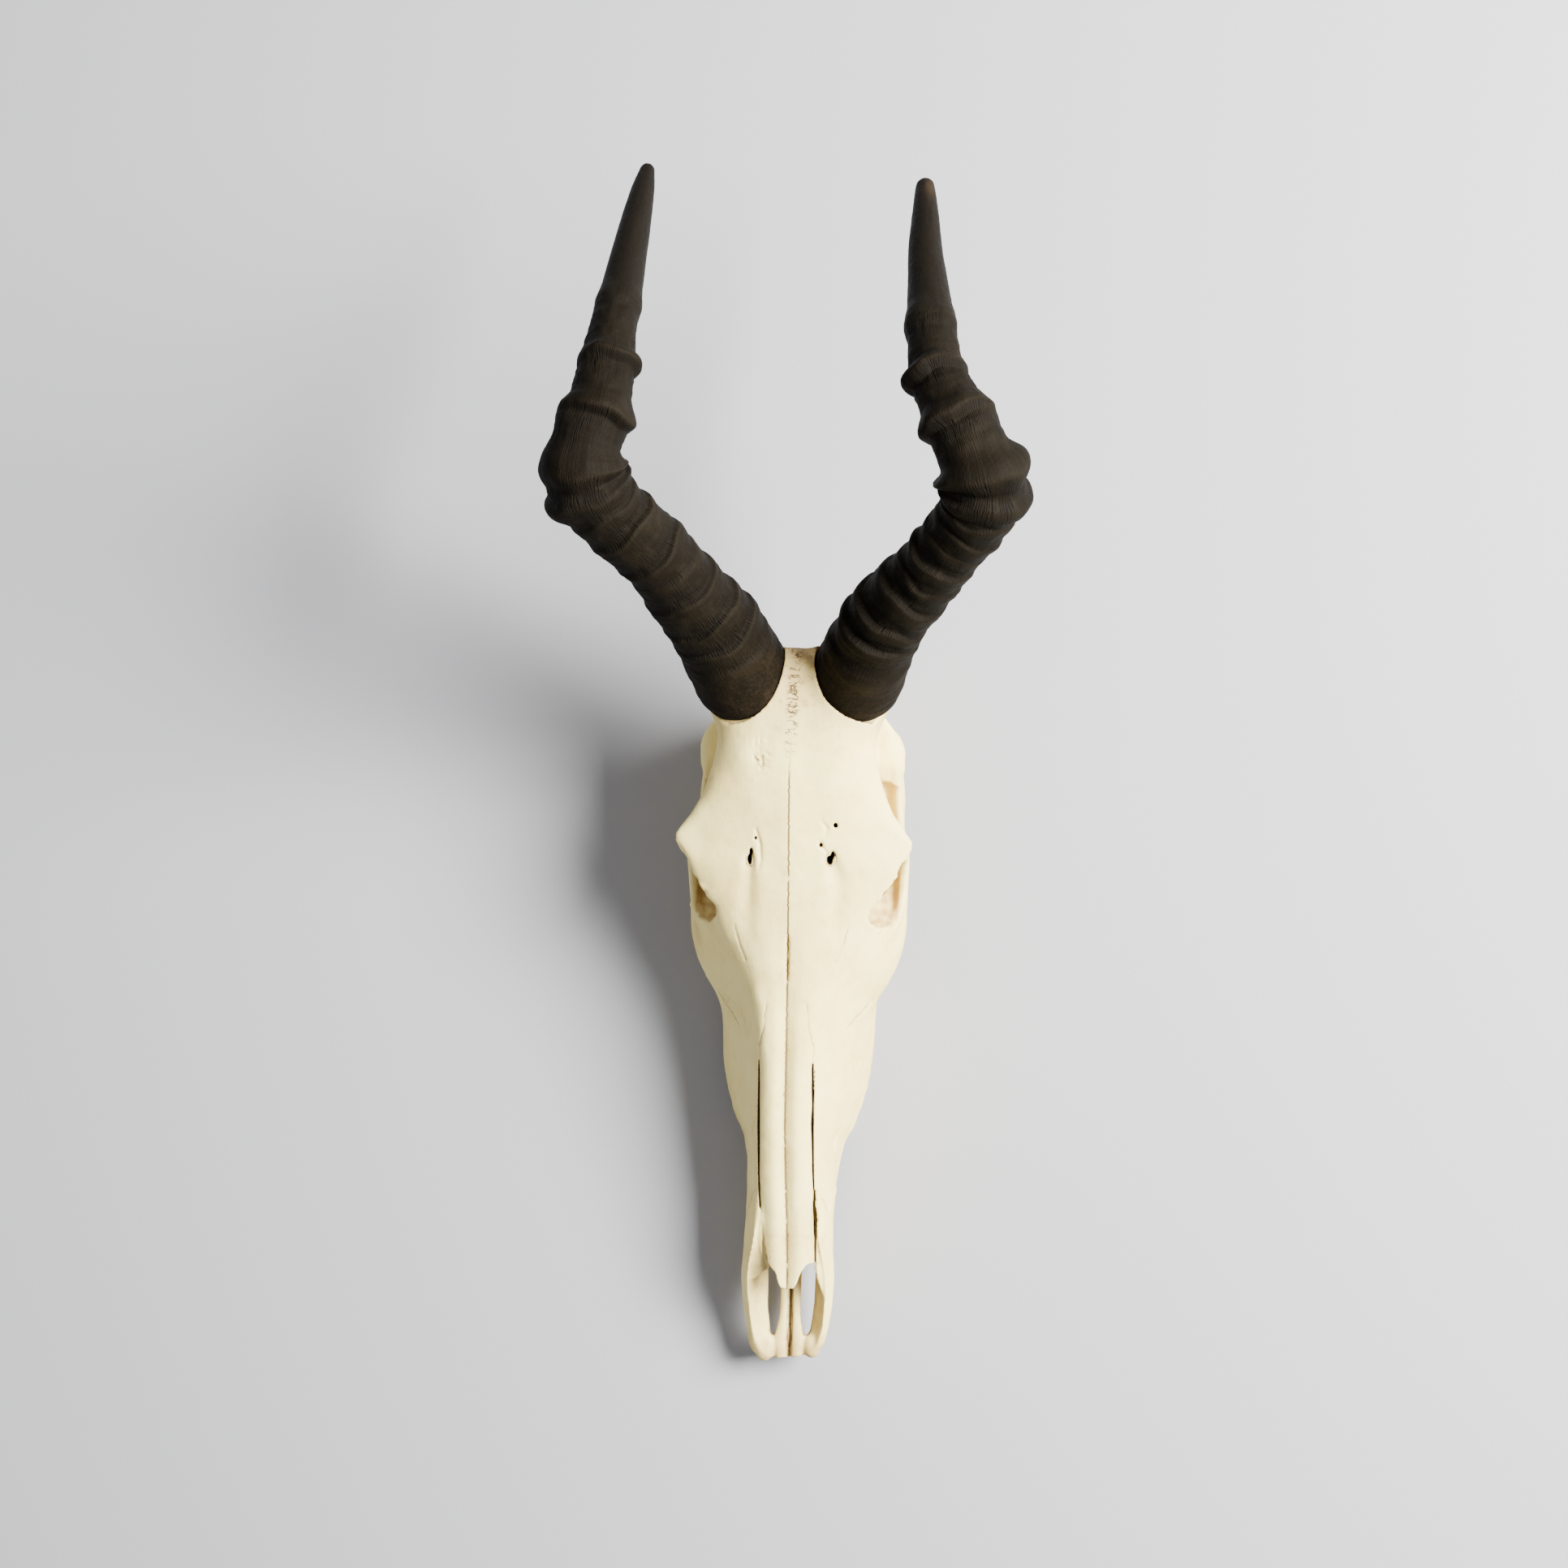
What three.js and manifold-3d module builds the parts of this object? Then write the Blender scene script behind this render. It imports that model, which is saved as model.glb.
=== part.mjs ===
// The skull of a hartebeest without its lower jaw. It lies face up on its cheek teeth and on the
// two prongs behind the braincase. Millimetres, +Z up. Y runs from the muzzle to the horns, X to the
// right, and Z is the height above the surface it lies on.
import * as THREE from "three";
import { LoftGeometry } from "three/addons/geometries/LoftGeometry.js";
import { mergeVertices } from "three/addons/utils/BufferGeometryUtils.js";
import Module from "manifold-3d";

const GAP = 0.3;
const HORN_SIDES = 14;
const BAR_SIDES = 8;
const BALL_SIDES = 12;
const BALL_ROWS = 7;

// Face: each keel line is [y, x, z] on the right half.
const FACE_STATIONS = [56, 68, 82, 96, 110, 124, 137, 150, 163, 176, 190, 203, 216, 228, 239, 250, 262, 276, 290, 303];
const FACE_KEELS = [
  [[56, 0, 60], [110, 0, 72.5], [150, 0, 82], [190, 0, 91], [228, 0, 99.5], [262, 0, 108.5], [303, 0, 119]],
  [[56, 8, 60.5], [110, 8, 73.5], [150, 8, 83], [190, 8, 92], [228, 10, 100], [262, 15, 108.5], [303, 24, 118.5]],
  [[56, 16.5, 55], [110, 16.2, 68.5], [150, 15.8, 78], [190, 16, 87], [228, 21.5, 95], [250, 28, 99], [262, 32, 102],
    [303, 52, 111]],
  [[56, 23.5, 49], [110, 22, 59], [150, 23, 65], [190, 28.5, 68], [228, 35.5, 73], [250, 45, 79], [262, 49.5, 82],
    [303, 60, 93]],
  [[56, 28.5, 38], [110, 26.5, 42], [137, 27, 42], [150, 30.5, 41], [176, 38, 43], [190, 39.5, 45], [216, 44.5, 50],
    [228, 48.5, 53], [239, 55, 56], [250, 60, 58], [276, 62.5, 62], [303, 62.5, 64]],
  [[56, 28, 27], [110, 27, 28], [137, 29, 26.5], [150, 35, 25], [176, 43.5, 27], [190, 45.5, 29], [216, 47, 32],
    [228, 49, 37], [239, 54, 43], [250, 58.5, 47], [276, 61.5, 51], [303, 61.5, 53]],
  [[56, 25.5, 21.5], [110, 26, 22], [137, 29, 20], [150, 36, 17.5], [176, 43, 17], [216, 46, 17], [232, 45.5, 18.5],
    [242, 43, 25], [262, 42, 40], [303, 46, 48]],
  [[56, 15, 21.5], [110, 18, 22], [137, 21, 20.5], [150, 24, 18], [176, 27, 17.5], [216, 29, 17.5], [232, 29, 19.5],
    [242, 27, 27], [262, 24, 42], [303, 22, 54]],
  [[56, 0, 24.5], [110, 0, 27], [150, 0, 29.5], [190, 0, 32.5], [228, 0, 35.5], [242, 0, 40], [262, 0, 48],
    [303, 0, 58]],
];

// Forehead, brow rims and the pedicle under the horns.
const BROW_STATIONS = [238, 255, 270, 284, 298, 311, 320, 327, 334, 343, 355, 372, 390, 408, 422, 433];
const BROW_KEELS = [
  [[238, 0, 100], [270, 0, 111], [311, 0, 123], [334, 0, 129.5], [355, 0, 135], [390, 0, 143], [408, 0, 146],
    [422, 0, 146], [433, 0, 141]],
  [[238, 10, 99], [270, 18, 110.5], [311, 26, 122.5], [327, 28, 126], [355, 24, 134], [390, 24, 142.5], [422, 22, 146],
    [433, 14, 141]],
  [[238, 18, 96.5], [270, 36, 104.5], [298, 50, 111], [311, 57, 114.5], [327, 61, 117], [343, 49, 123], [355, 43.5, 127],
    [372, 40, 131], [408, 42, 138], [422, 40, 139], [433, 25, 137]],
  [[238, 22, 92], [255, 34.5, 94], [270, 43, 97], [284, 48.5, 100], [298, 58, 105], [311, 66, 109.5], [320, 69, 111.5],
    [327, 69.5, 112], [334, 65, 113], [343, 58.5, 115], [355, 53, 117], [372, 48, 120], [390, 45.5, 124], [408, 46, 127], [422, 45, 128],
    [433, 31, 129]],
  [[238, 18, 86], [255, 30, 86], [284, 44, 92], [298, 53, 98], [311, 61, 103], [327, 65, 106.5], [343, 54, 106],
    [372, 45, 105], [408, 43, 112], [433, 28, 120]],
  [[238, 10, 80], [270, 24, 82], [298, 36, 88], [327, 40, 92], [355, 35, 88], [390, 36, 92], [408, 34, 101],
    [433, 17, 114]],
  [[238, 0, 78], [270, 0, 80], [298, 0, 82], [355, 0, 82], [390, 0, 86], [408, 0, 98], [433, 0, 113]],
];

// Braincase and back of the head.
const BRAIN_STATIONS = [292, 305, 320, 338, 356, 374, 390, 400, 406];
const BRAIN_KEELS = [
  [[292, 0, 100], [338, 0, 116], [374, 0, 114], [390, 0, 106], [400, 0, 96], [406, 0, 86]],
  [[292, 14, 96], [338, 27, 108], [374, 27, 108], [390, 24, 100], [400, 18, 91], [406, 10, 83]],
  [[292, 22, 84], [338, 39, 88], [374, 42, 88], [390, 41, 84], [400, 33, 78], [406, 20, 75]],
  [[292, 22, 68], [338, 38, 68], [374, 45, 66], [390, 45, 62], [400, 36, 58], [406, 23, 60]],
  [[292, 14, 55], [338, 26, 52], [374, 33, 48], [390, 34, 46], [400, 27, 45], [406, 17, 50]],
  [[292, 0, 52], [338, 0, 48], [374, 0, 45], [390, 0, 44], [400, 0, 44], [406, 0, 50]],
];

// Hollow of the nose, open at the front and leading back to the passage behind the palate.
const NOSE_STATIONS = [30, 56, 80, 110, 140, 170, 200, 225];
const NOSE_KEELS = [
  [[30, 0, 66], [56, 0, 56.5], [110, 0, 68.5], [170, 0, 82.5], [200, 0, 88], [225, 0, 84]],
  [[30, 17, 66], [56, 13, 55], [110, 13, 67], [170, 13, 80.5], [200, 15, 84], [225, 12, 80]],
  [[30, 21, 50], [56, 19, 48], [110, 18.5, 57], [170, 23, 66], [200, 27, 69], [225, 18, 68]],
  [[30, 19, 34], [56, 23.5, 38], [110, 22.5, 42], [170, 30, 49], [200, 33, 52], [225, 20, 56]],
  [[30, 12, 28], [56, 17, 29.5], [110, 19, 32], [170, 24, 37], [200, 24, 40], [225, 12, 46]],
  [[30, 0, 28], [56, 0, 29.5], [110, 0, 31.5], [170, 0, 36], [200, 0, 38.5], [225, 0, 42]],
];

// Bars of bone: [x, y, z, half thickness, half height].
const MUZZLE_BAR = [
  [9, 3.5, 23, 5, 4.5], [16, 6.5, 24, 5.5, 5.5], [19.8, 15, 26.5, 5, 6.5], [21.8, 32, 29.5, 5.2, 8.5],
  [22.8, 50, 34.5, 5, 12.5], [23.5, 68, 36.5, 4, 11], [23.5, 84, 37, 3, 8],
];
const MUZZLE_STRIP = [[4.2, 3, 22.5, 3.4, 3.6], [4, 18, 23, 2.6, 3], [3.8, 44, 24.5, 2.5, 2.8], [3.6, 74, 27.5, 2.6, 2.6]];
const CHEEK_ARCH = [
  [52, 243, 52, 4, 6], [60, 262, 56, 3.8, 8], [61.8, 285, 57, 3.6, 7.5], [61.8, 310, 59, 3.4, 7], [59.8, 335, 62, 3.2, 6.5],
  [58, 358, 65, 3, 6], [54.5, 378, 68, 4, 6.5], [46, 391, 70, 6, 8],
];
const BROW_BAR = [[65, 319, 112, 4, 5], [65, 325, 98, 3.6, 5.5], [63.5, 326, 80, 3.4, 6], [61.8, 322, 60, 3.2, 8]];
const PTERYGOID = [[17, 230, 31, 2.4, 9], [15.5, 248, 36, 2.2, 13], [13.5, 270, 41, 2.2, 13], [12, 290, 48, 3, 9]];
const SKULL_BASE = [[0, 258, 56, 9, 6], [0, 300, 55, 11, 8], [0, 350, 49, 15, 9], [0, 392, 48, 18, 10]];
const PRONG = [[36, 380, 62, 9, 11], [36, 387, 44, 6, 11], [35, 391, 20, 4.5, 9], [35, 391, 0, 3.2, 6]];
const HORN_CORE = { radius: 27.5, length: 46 };

// Ellipsoids: centre and half sizes.
const ORBIT = { at: [66, 296, 87], half: [40, 24.5, 22.5] };
const EAR_BULB = { at: [22, 361, 43], half: [9, 15, 11] };
const CONDYLE = { at: [15.5, 400, 45], half: [10.5, 12, 17] };
const SPINE_HOLE = { at: [0, 404, 58], half: [10, 26, 11] };

// Openings in the forehead and along the nose.
const BROW_HOLE = { at: [23.5, 317, 126], radius: 2.4, depth: 18 };
const NOSE_SLIT = [[16.4, 60, 1.3], [16.6, 90, 1.2], [15.8, 125, 0.8], [15.6, 160, 0.6], [15.6, 190, 0.5]];
const THROAT = [[0, 214, 52, 9, 9], [0, 238, 47, 10.5, 9], [0, 262, 40, 11, 10], [0, 288, 34, 12, 10]];

// Cheek teeth: name, where each starts along Y, length, width and the middle of its row in X.
const TOOTH_TOP = 23;
const TEETH = [
  { name: "premolar_2", start: 139.5, length: 8.5, width: 8, row: 31.2 },
  { name: "premolar_3", start: 148.6, length: 11, width: 10, row: 32.6 },
  { name: "premolar_4", start: 160.2, length: 12, width: 12, row: 34.6 },
  { name: "molar_1", start: 172.8, length: 17.5, width: 13.5, row: 36.3 },
  { name: "molar_2", start: 190.9, length: 21, width: 14, row: 37.3 },
  { name: "molar_3", start: 212.5, length: 22, width: 13.5, row: 37.6 },
];

// Horns: the middle line, the radius against the length along it, and each ring as [length, height].
const HORNS = [
  {
    name: "horn_left",
    side: -1,
    path: [[-32.5, 425, 134], [-46, 448, 165], [-60, 465, 190], [-74.5, 484, 215], [-95, 502, 240], [-109, 520, 256],
      [-109, 539, 262], [-103, 558, 260], [-101, 583, 251], [-100, 609, 236], [-98.5, 631, 222], [-97, 655, 208],
      [-95.5, 679, 193], [-93.5, 711, 172]],
    girth: [[0, 31], [20, 29], [41, 26], [74, 22.6], [109, 21], [146, 21], [176, 22], [194, 19.5], [221, 17.2], [253, 14.6],
      [271, 13], [298, 11.6], [324, 10], [353, 8.2], [372, 6.5], [392, 3.4]],
    rings: [[8, 0.8, 0.5], [24, 1, 0.6], [41, 1.6, 0.8], [60, 1.6, 0.8], [81, 1.6, 0.8], [104, 1.8, 0.8], [132, 2, 1],
      [154, 2, 2], [170, 1.5, 5.5], [183, 3, 3.5], [212, 4.6, 1.5], [243, 4.6, 1], [281, 1, 0.5]],
  },
  {
    name: "horn_right",
    side: 1,
    path: [[33, 426, 134], [42.5, 440, 155], [54.5, 455.5, 175], [68, 469.5, 194], [81.5, 483, 212], [92.5, 495.5, 228],
      [103.5, 508, 243], [109, 524, 257], [103, 539.5, 262], [91, 562.5, 258], [80.5, 585, 248], [75.5, 614, 232],
      [72.5, 636, 219], [69.5, 659.5, 206], [68, 683, 192], [66.5, 704, 178]],
    girth: [[0, 30], [28, 26.5], [56, 22.8], [83, 20.8], [110, 19.4], [133, 19.2], [154, 20], [177, 22], [195, 20],
      [222, 17.4], [255, 14.8], [281, 13.3], [308, 11.3], [334, 9.4], [361, 7.3], [379, 5.4], [389, 3.4]],
    rings: [[8, 0.8, 0.5], [24, 1, 0.6], [42, 1.6, 0.8], [60, 1.6, 0.8], [77, 1.6, 0.8], [99, 1.8, 0.8], [129, 2, 1],
      [155, 2.6, 2], [171, 2, 5], [184, 3, 5.5], [217, 6, 1.2], [248, 6, 1.2], [281, 1, 0.5]],
  },
];

const wasm = await Module();
wasm.setup();

function solid(geometry) {
  const bare = new THREE.BufferGeometry();
  bare.setAttribute("position", geometry.getAttribute("position"));
  bare.setIndex(geometry.index);
  const merged = mergeVertices(bare, 1e-4);
  return new wasm.Manifold(new wasm.Mesh({
    numProp: 3,
    vertProperties: new Float32Array(merged.attributes.position.array),
    triVerts: new Uint32Array(merged.index.array),
  }));
}

// Rows of numbers as a smooth function of their first number; returns the others.
function follow(rows) {
  const slope = (i, k) => {
    const low = Math.max(i - 1, 0);
    const high = Math.min(i + 1, rows.length - 1);
    return (rows[high][k] - rows[low][k]) / (rows[high][0] - rows[low][0]);
  };
  return (at) => {
    let i = 0;
    while (i < rows.length - 2 && at > rows[i + 1][0]) {
      i += 1;
    }
    const span = rows[i + 1][0] - rows[i][0];
    const t = Math.min(Math.max((at - rows[i][0]) / span, 0), 1);
    return rows[i].slice(1).map((value, k) => {
      const step = rows[i + 1][k + 1] - value;
      const bend = (1 - t) * (slope(i, k + 1) * span - step) - t * (slope(i + 1, k + 1) * span - step);
      return value + t * step + t * (1 - t) * bend;
    });
  };
}

function loft(sections) {
  return solid(new LoftGeometry(sections, { closed: true, capStart: true, capEnd: true }));
}

// A body that is the same on both sides of the middle: its keel lines run from the top to the bottom.
function keelBody(stations, keels) {
  const lines = keels.map(follow);
  return loft(stations.map((y) => {
    const half = lines.map((line) => line(y));
    const right = half.map(([x, z]) => new THREE.Vector3(x, y, z));
    const left = half.slice(1, -1).reverse().map(([x, z]) => new THREE.Vector3(-x, y, z));
    return [...right, ...left];
  }));
}

function ring(centre, first, second, radii, sides) {
  return Array.from({ length: sides }, (_, i) => {
    const turn = (i / sides) * 2 * Math.PI;
    return centre.clone()
      .addScaledVector(first, Math.cos(turn) * radii(turn)[0])
      .addScaledVector(second, Math.sin(turn) * radii(turn)[1]);
  });
}

// A bar with an oval section. The thickness lies across "tall" and the height lies along it.
function bar(points, side, tall) {
  const centres = points.map(([x, y, z]) => new THREE.Vector3(x * side, y, z));
  return loft(centres.map((centre, i) => {
    const along = centres[Math.min(i + 1, centres.length - 1)].clone().sub(centres[Math.max(i - 1, 0)]).normalize();
    const across = new THREE.Vector3(...tall).setX(tall[0] * side).cross(along).normalize();
    const up = along.clone().cross(across);
    return ring(centre, across, up, () => points[i].slice(3), BAR_SIDES);
  }));
}

function ellipsoid({ at, half }, side = 1) {
  const ball = new THREE.SphereGeometry(1, BALL_SIDES, BALL_ROWS).scale(...half);
  return solid(ball.translate(at[0] * side, at[1], at[2]));
}

function hornLine({ path }) {
  return new THREE.CatmullRomCurve3(path.map((point) => new THREE.Vector3(...point)));
}

// The direction of a curve, eased over a stretch so that neighbouring rounds stay clear of each other.
function eased(curve, at, length) {
  const reach = Math.min(14, at, length - at);
  if (reach < 1) {
    return curve.getTangentAt(at / length);
  }
  return curve.getPointAt((at + reach) / length).sub(curve.getPointAt((at - reach) / length)).normalize();
}

// A horn sheath: rounds carried along its middle line, with rings that stand out most in front and inside.
function hornSheath({ side, girth, rings }, curve) {
  const radius = follow(girth);
  const length = curve.getLength();
  const stations = rings.flatMap(([at], i) => {
    const next = i + 1 < rings.length ? rings[i + 1][0] : at + 24;
    return [at - 3.5, at, at + 5, (at + 5 + next - 3.5) / 2];
  });
  stations[0] = 0;
  const last = stations[stations.length - 1];
  for (let k = 1; k < 7; k += 1) {
    stations.push(last + (k / 7) * (length - 4 - last));
  }
  stations.push(length - 4, length - 2, length - 0.6, length);
  return loft(stations.map((at) => {
    const along = eased(curve, at, length);
    const inward = new THREE.Vector3(-side, 0, 0);
    inward.addScaledVector(along, -inward.dot(along)).normalize();
    const second = along.clone().cross(inward);
    const past = Math.max(at - (length - 4), 0) / 4;
    const base = radius(at)[0] * Math.sqrt(1 - 0.94 * past * past);
    const reach = (turn) => {
      const facing = 0.5 + 0.5 * Math.cos(turn - side * 0.7);
      const swell = rings.reduce((sum, [middle, inner, outer]) => {
        const off = (at - middle) / (at < middle ? 3.5 : 5);
        return sum + (outer + (inner - outer) * facing) * Math.exp(-off * off);
      }, 0);
      return [base + swell, base + swell];
    };
    return ring(curve.getPointAt(at / length), inward, second, reach, HORN_SIDES);
  }));
}

// The outline of a cheek tooth seen from below: two lobes, with ribs on its outer side.
function toothPrism({ start, length, width, row }, side, grow, top) {
  const across = width / 2 + grow;
  const along = length / 2 + grow;
  const outline = [
    [1, -0.88], [0.86, -0.5], [0.98, 0], [0.86, 0.5], [1, 0.88], [0.7, 1], [-0.6, 1], [-1, 0.55], [-0.8, 0],
    [-1, -0.55], [-0.6, -1], [0.7, -1],
  ];
  const shape = new THREE.Shape(outline.map(([x, y]) => new THREE.Vector2(x * across * side, y * along)));
  const prism = new THREE.ExtrudeGeometry(shape, { depth: top, bevelEnabled: false });
  return solid(prism.translate(row * side, start + length / 2, 0));
}

// A cylinder from one point towards another direction.
function post(from, along, length, radius) {
  const turn = new THREE.Quaternion().setFromUnitVectors(new THREE.Vector3(0, 1, 0), along);
  const rod = new THREE.CylinderGeometry(radius, radius, length, radius > 10 ? 20 : 8).translate(0, length / 2, 0);
  return solid(rod.applyQuaternion(turn).translate(from.x, from.y, from.z));
}

const horns = HORNS.map((horn) => ({ ...horn, curve: hornLine(horn) }));

const bodies = [
  keelBody(BROW_STATIONS, BROW_KEELS),
  keelBody(BRAIN_STATIONS, BRAIN_KEELS),
  bar(SKULL_BASE, 1, [0, 0, 1]),
];
const face = keelBody(FACE_STATIONS, FACE_KEELS);
let bone = wasm.Manifold.union([face, ...bodies]);
for (const side of [-1, 1]) {
  bone = bone.subtract(ellipsoid(ORBIT, side));
}
bone = bone.subtract(keelBody(NOSE_STATIONS, NOSE_KEELS));
bone = bone.subtract(bar(THROAT, 1, [0, 0, 1]));
for (const side of [-1, 1]) {
  const extra = [
    bar(MUZZLE_BAR, side, [0.3, 0, 1]),
    bar(MUZZLE_STRIP, side, [0, 0, 1]),
    bar(CHEEK_ARCH, side, [0.1, 0, 1]),
    bar(BROW_BAR, side, [0, 1, 0]),
    bar(PTERYGOID, side, [0, 0, 1]),
    bar(PRONG, side, [0, 1, 0]),
    ellipsoid(EAR_BULB, side),
    ellipsoid(CONDYLE, side),
  ];
  bone = wasm.Manifold.union([bone, ...extra]);
}
bone = bone.subtract(ellipsoid(SPINE_HOLE));

const roof = follow(FACE_KEELS[0]);
for (const side of [-1, 1]) {
  bone = bone.subtract(loft(NOSE_SLIT.map(([x, y, half]) => {
    const corners = [[-half, 6], [half, 6], [half, -14], [-half, -14]];
    return corners.map(([off, up]) => new THREE.Vector3(x * side + off, y, roof(y)[1] + up));
  })));
  const mouth = new THREE.Vector3(BROW_HOLE.at[0] * side, BROW_HOLE.at[1], BROW_HOLE.at[2] + 4);
  bone = bone.subtract(post(mouth, new THREE.Vector3(0, 0.5, -0.87).normalize(), BROW_HOLE.depth, BROW_HOLE.radius));
}

const root = new THREE.Group();

function addNode(name, body, colour, roughness) {
  const mesh = body.getMesh();
  const geometry = new THREE.BufferGeometry();
  geometry.setAttribute("position", new THREE.BufferAttribute(new Float32Array(mesh.vertProperties), 3));
  geometry.setIndex(new THREE.BufferAttribute(new Uint32Array(mesh.triVerts), 1));
  geometry.computeVertexNormals();
  const node = new THREE.Mesh(geometry, new THREE.MeshStandardMaterial({ color: colour, roughness }));
  node.name = name;
  root.add(node);
}

for (const horn of horns) {
  const base = horn.curve.getPointAt(0);
  const along = horn.curve.getTangentAt(0);
  const inside = base.clone().addScaledVector(along, -HORN_CORE.length);
  bone = bone.add(post(inside, along, HORN_CORE.length, HORN_CORE.radius));
  bone = bone.subtract(post(base.clone().addScaledVector(along, -GAP), along, 60, horn.girth[0][1] + 1.5));
}

for (const side of [-1, 1]) {
  for (const tooth of TEETH) {
    bone = bone.subtract(toothPrism(tooth, side, GAP, TOOTH_TOP + GAP));
  }
}

addNode("skull", bone, 0xe9dfc3, 0.75);
for (const horn of horns) {
  addNode(horn.name, hornSheath(horn, horn.curve), 0x33291c, 0.6);
}
for (const [side, word] of [[-1, "left"], [1, "right"]]) {
  for (const tooth of TEETH) {
    addNode(`${tooth.name}_${word}`, toothPrism(tooth, side, 0, TOOTH_TOP), 0xe6dcc2, 0.4);
  }
}

// The origin goes to the middle of the bottom of the box.
const box = new THREE.Box3().setFromObject(root);
const middle = box.getCenter(new THREE.Vector3());
for (const node of root.children) {
  node.geometry.translate(-middle.x, -middle.y, -box.min.z);
}

export default root;
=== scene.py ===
"""Looks for the skull of a hartebeest without its lower jaw, lying face up on its cheek teeth.

The bone is one surface worked out from a field of distances, because a grid of two parameters can't
hold its sockets, arches and slits. The horns are a ringed profile carried along a bent path, and the
cheek teeth are ribbed prisms with worn crescents.

Lengths in the tables are millimetres in the skull's own axes: Y from the muzzle tip to the horns, X to
the right, Z up from the surface it lies on.
"""

import math

import bpy
import numpy as np
from mathutils import Matrix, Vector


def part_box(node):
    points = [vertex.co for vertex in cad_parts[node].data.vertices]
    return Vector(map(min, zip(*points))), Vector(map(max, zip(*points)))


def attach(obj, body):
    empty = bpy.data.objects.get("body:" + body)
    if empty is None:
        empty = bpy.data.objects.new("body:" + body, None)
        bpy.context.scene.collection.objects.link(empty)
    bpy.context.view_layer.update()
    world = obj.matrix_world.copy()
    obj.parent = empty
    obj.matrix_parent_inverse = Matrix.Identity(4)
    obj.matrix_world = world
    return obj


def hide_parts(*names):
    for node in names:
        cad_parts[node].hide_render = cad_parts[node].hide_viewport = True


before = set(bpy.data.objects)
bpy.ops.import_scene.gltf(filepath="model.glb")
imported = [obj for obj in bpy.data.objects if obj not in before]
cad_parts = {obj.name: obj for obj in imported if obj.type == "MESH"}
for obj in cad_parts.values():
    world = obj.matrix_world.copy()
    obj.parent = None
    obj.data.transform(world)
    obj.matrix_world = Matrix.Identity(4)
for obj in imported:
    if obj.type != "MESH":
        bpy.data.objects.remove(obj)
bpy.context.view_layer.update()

bl_info = {
    "name": "Hartebeest Skull",
    "version": (1, 0, 0),
    "blender": (4, 5, 0),
    "location": "3D View > Sidebar > Skull",
    "description": "Builds the bone, horns and cheek teeth of a hartebeest skull on its packed frame",
    "category": "Object",
}

# Keel lines of the bone: rows of (y, x, z) on the right half, from the top of the section to its bottom.
FACE_KEELS = [
    [(84, 0, 66.5), (110, 0, 72.5), (150, 0, 82), (190, 0, 91), (228, 0, 99.5), (262, 0, 107.5), (303, 0, 113)],
    [(84, 8, 67.3), (110, 8, 73.7), (150, 8, 83.2), (190, 8, 92.2), (228, 10, 100), (262, 15, 107.5),
     (303, 24, 112.5)],
    [(84, 16.2, 62), (110, 16.2, 68.5), (150, 15.8, 78), (190, 16, 87), (228, 21.5, 95), (250, 28, 99),
     (262, 32, 101.5), (303, 50, 106)],
    [(84, 20.4, 53.4), (110, 22, 59), (150, 23, 65), (190, 28.5, 68), (228, 35.5, 73), (250, 45, 79), (262, 49.5, 82),
     (303, 60, 93)],
    [(84, 24.4, 40), (110, 26.5, 42), (137, 27.4, 42), (150, 31, 41), (176, 38, 43), (190, 39.5, 45), (216, 44.5, 50),
     (228, 48.5, 53), (239, 55, 56), (250, 60, 58), (276, 63.5, 62), (303, 64.5, 64)],
    [(84, 23.2, 28.2), (110, 26.4, 28), (137, 30, 26.5), (150, 36, 25), (176, 43.5, 27), (190, 45.5, 29),
     (216, 47, 32), (228, 49, 37), (239, 54, 43), (250, 58.5, 47), (276, 62.5, 51), (303, 63.5, 58)],
    [(84, 21.4, 23), (110, 26, 22), (137, 31, 20), (146, 35.5, 17.5), (150, 37, 17), (176, 43.5, 17), (216, 46, 17),
     (232, 45.5, 18.5), (242, 43, 25), (262, 42, 40), (284, 44, 50), (303, 46, 61)],
    [(84, 16, 23), (110, 18, 22), (137, 21, 20.5), (150, 24, 18), (176, 27, 17.5), (216, 29, 17.5), (232, 29, 19.5),
     (242, 27, 27), (262, 24, 42), (284, 24, 51), (303, 24, 62)],
    [(84, 0, 25.8), (110, 0, 27), (150, 0, 29.5), (190, 0, 32.5), (228, 0, 35.5), (242, 0, 40), (262, 0, 48),
     (303, 0, 58)],
]
NASAL_KEELS = [
    [(40, 0, 56.5), (56, 0, 60), (84, 0, 66.5), (104, 0, 71.1)],
    [(40, 8, 57), (56, 8, 60.6), (84, 8, 67.3), (104, 8, 72.2)],
    [(40, 15, 54), (56, 15.4, 57), (84, 15.7, 62.6), (104, 15.6, 67.2)],
    [(40, 14.8, 52.6), (56, 15, 55.4), (84, 15.2, 60.4), (104, 15.2, 64.6)],
    [(40, 8, 55.2), (56, 8, 58.6), (84, 8, 64), (104, 8, 68)],
    [(40, 0, 54.8), (56, 0, 58), (84, 0, 63.4), (104, 0, 67.4)],
]
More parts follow.
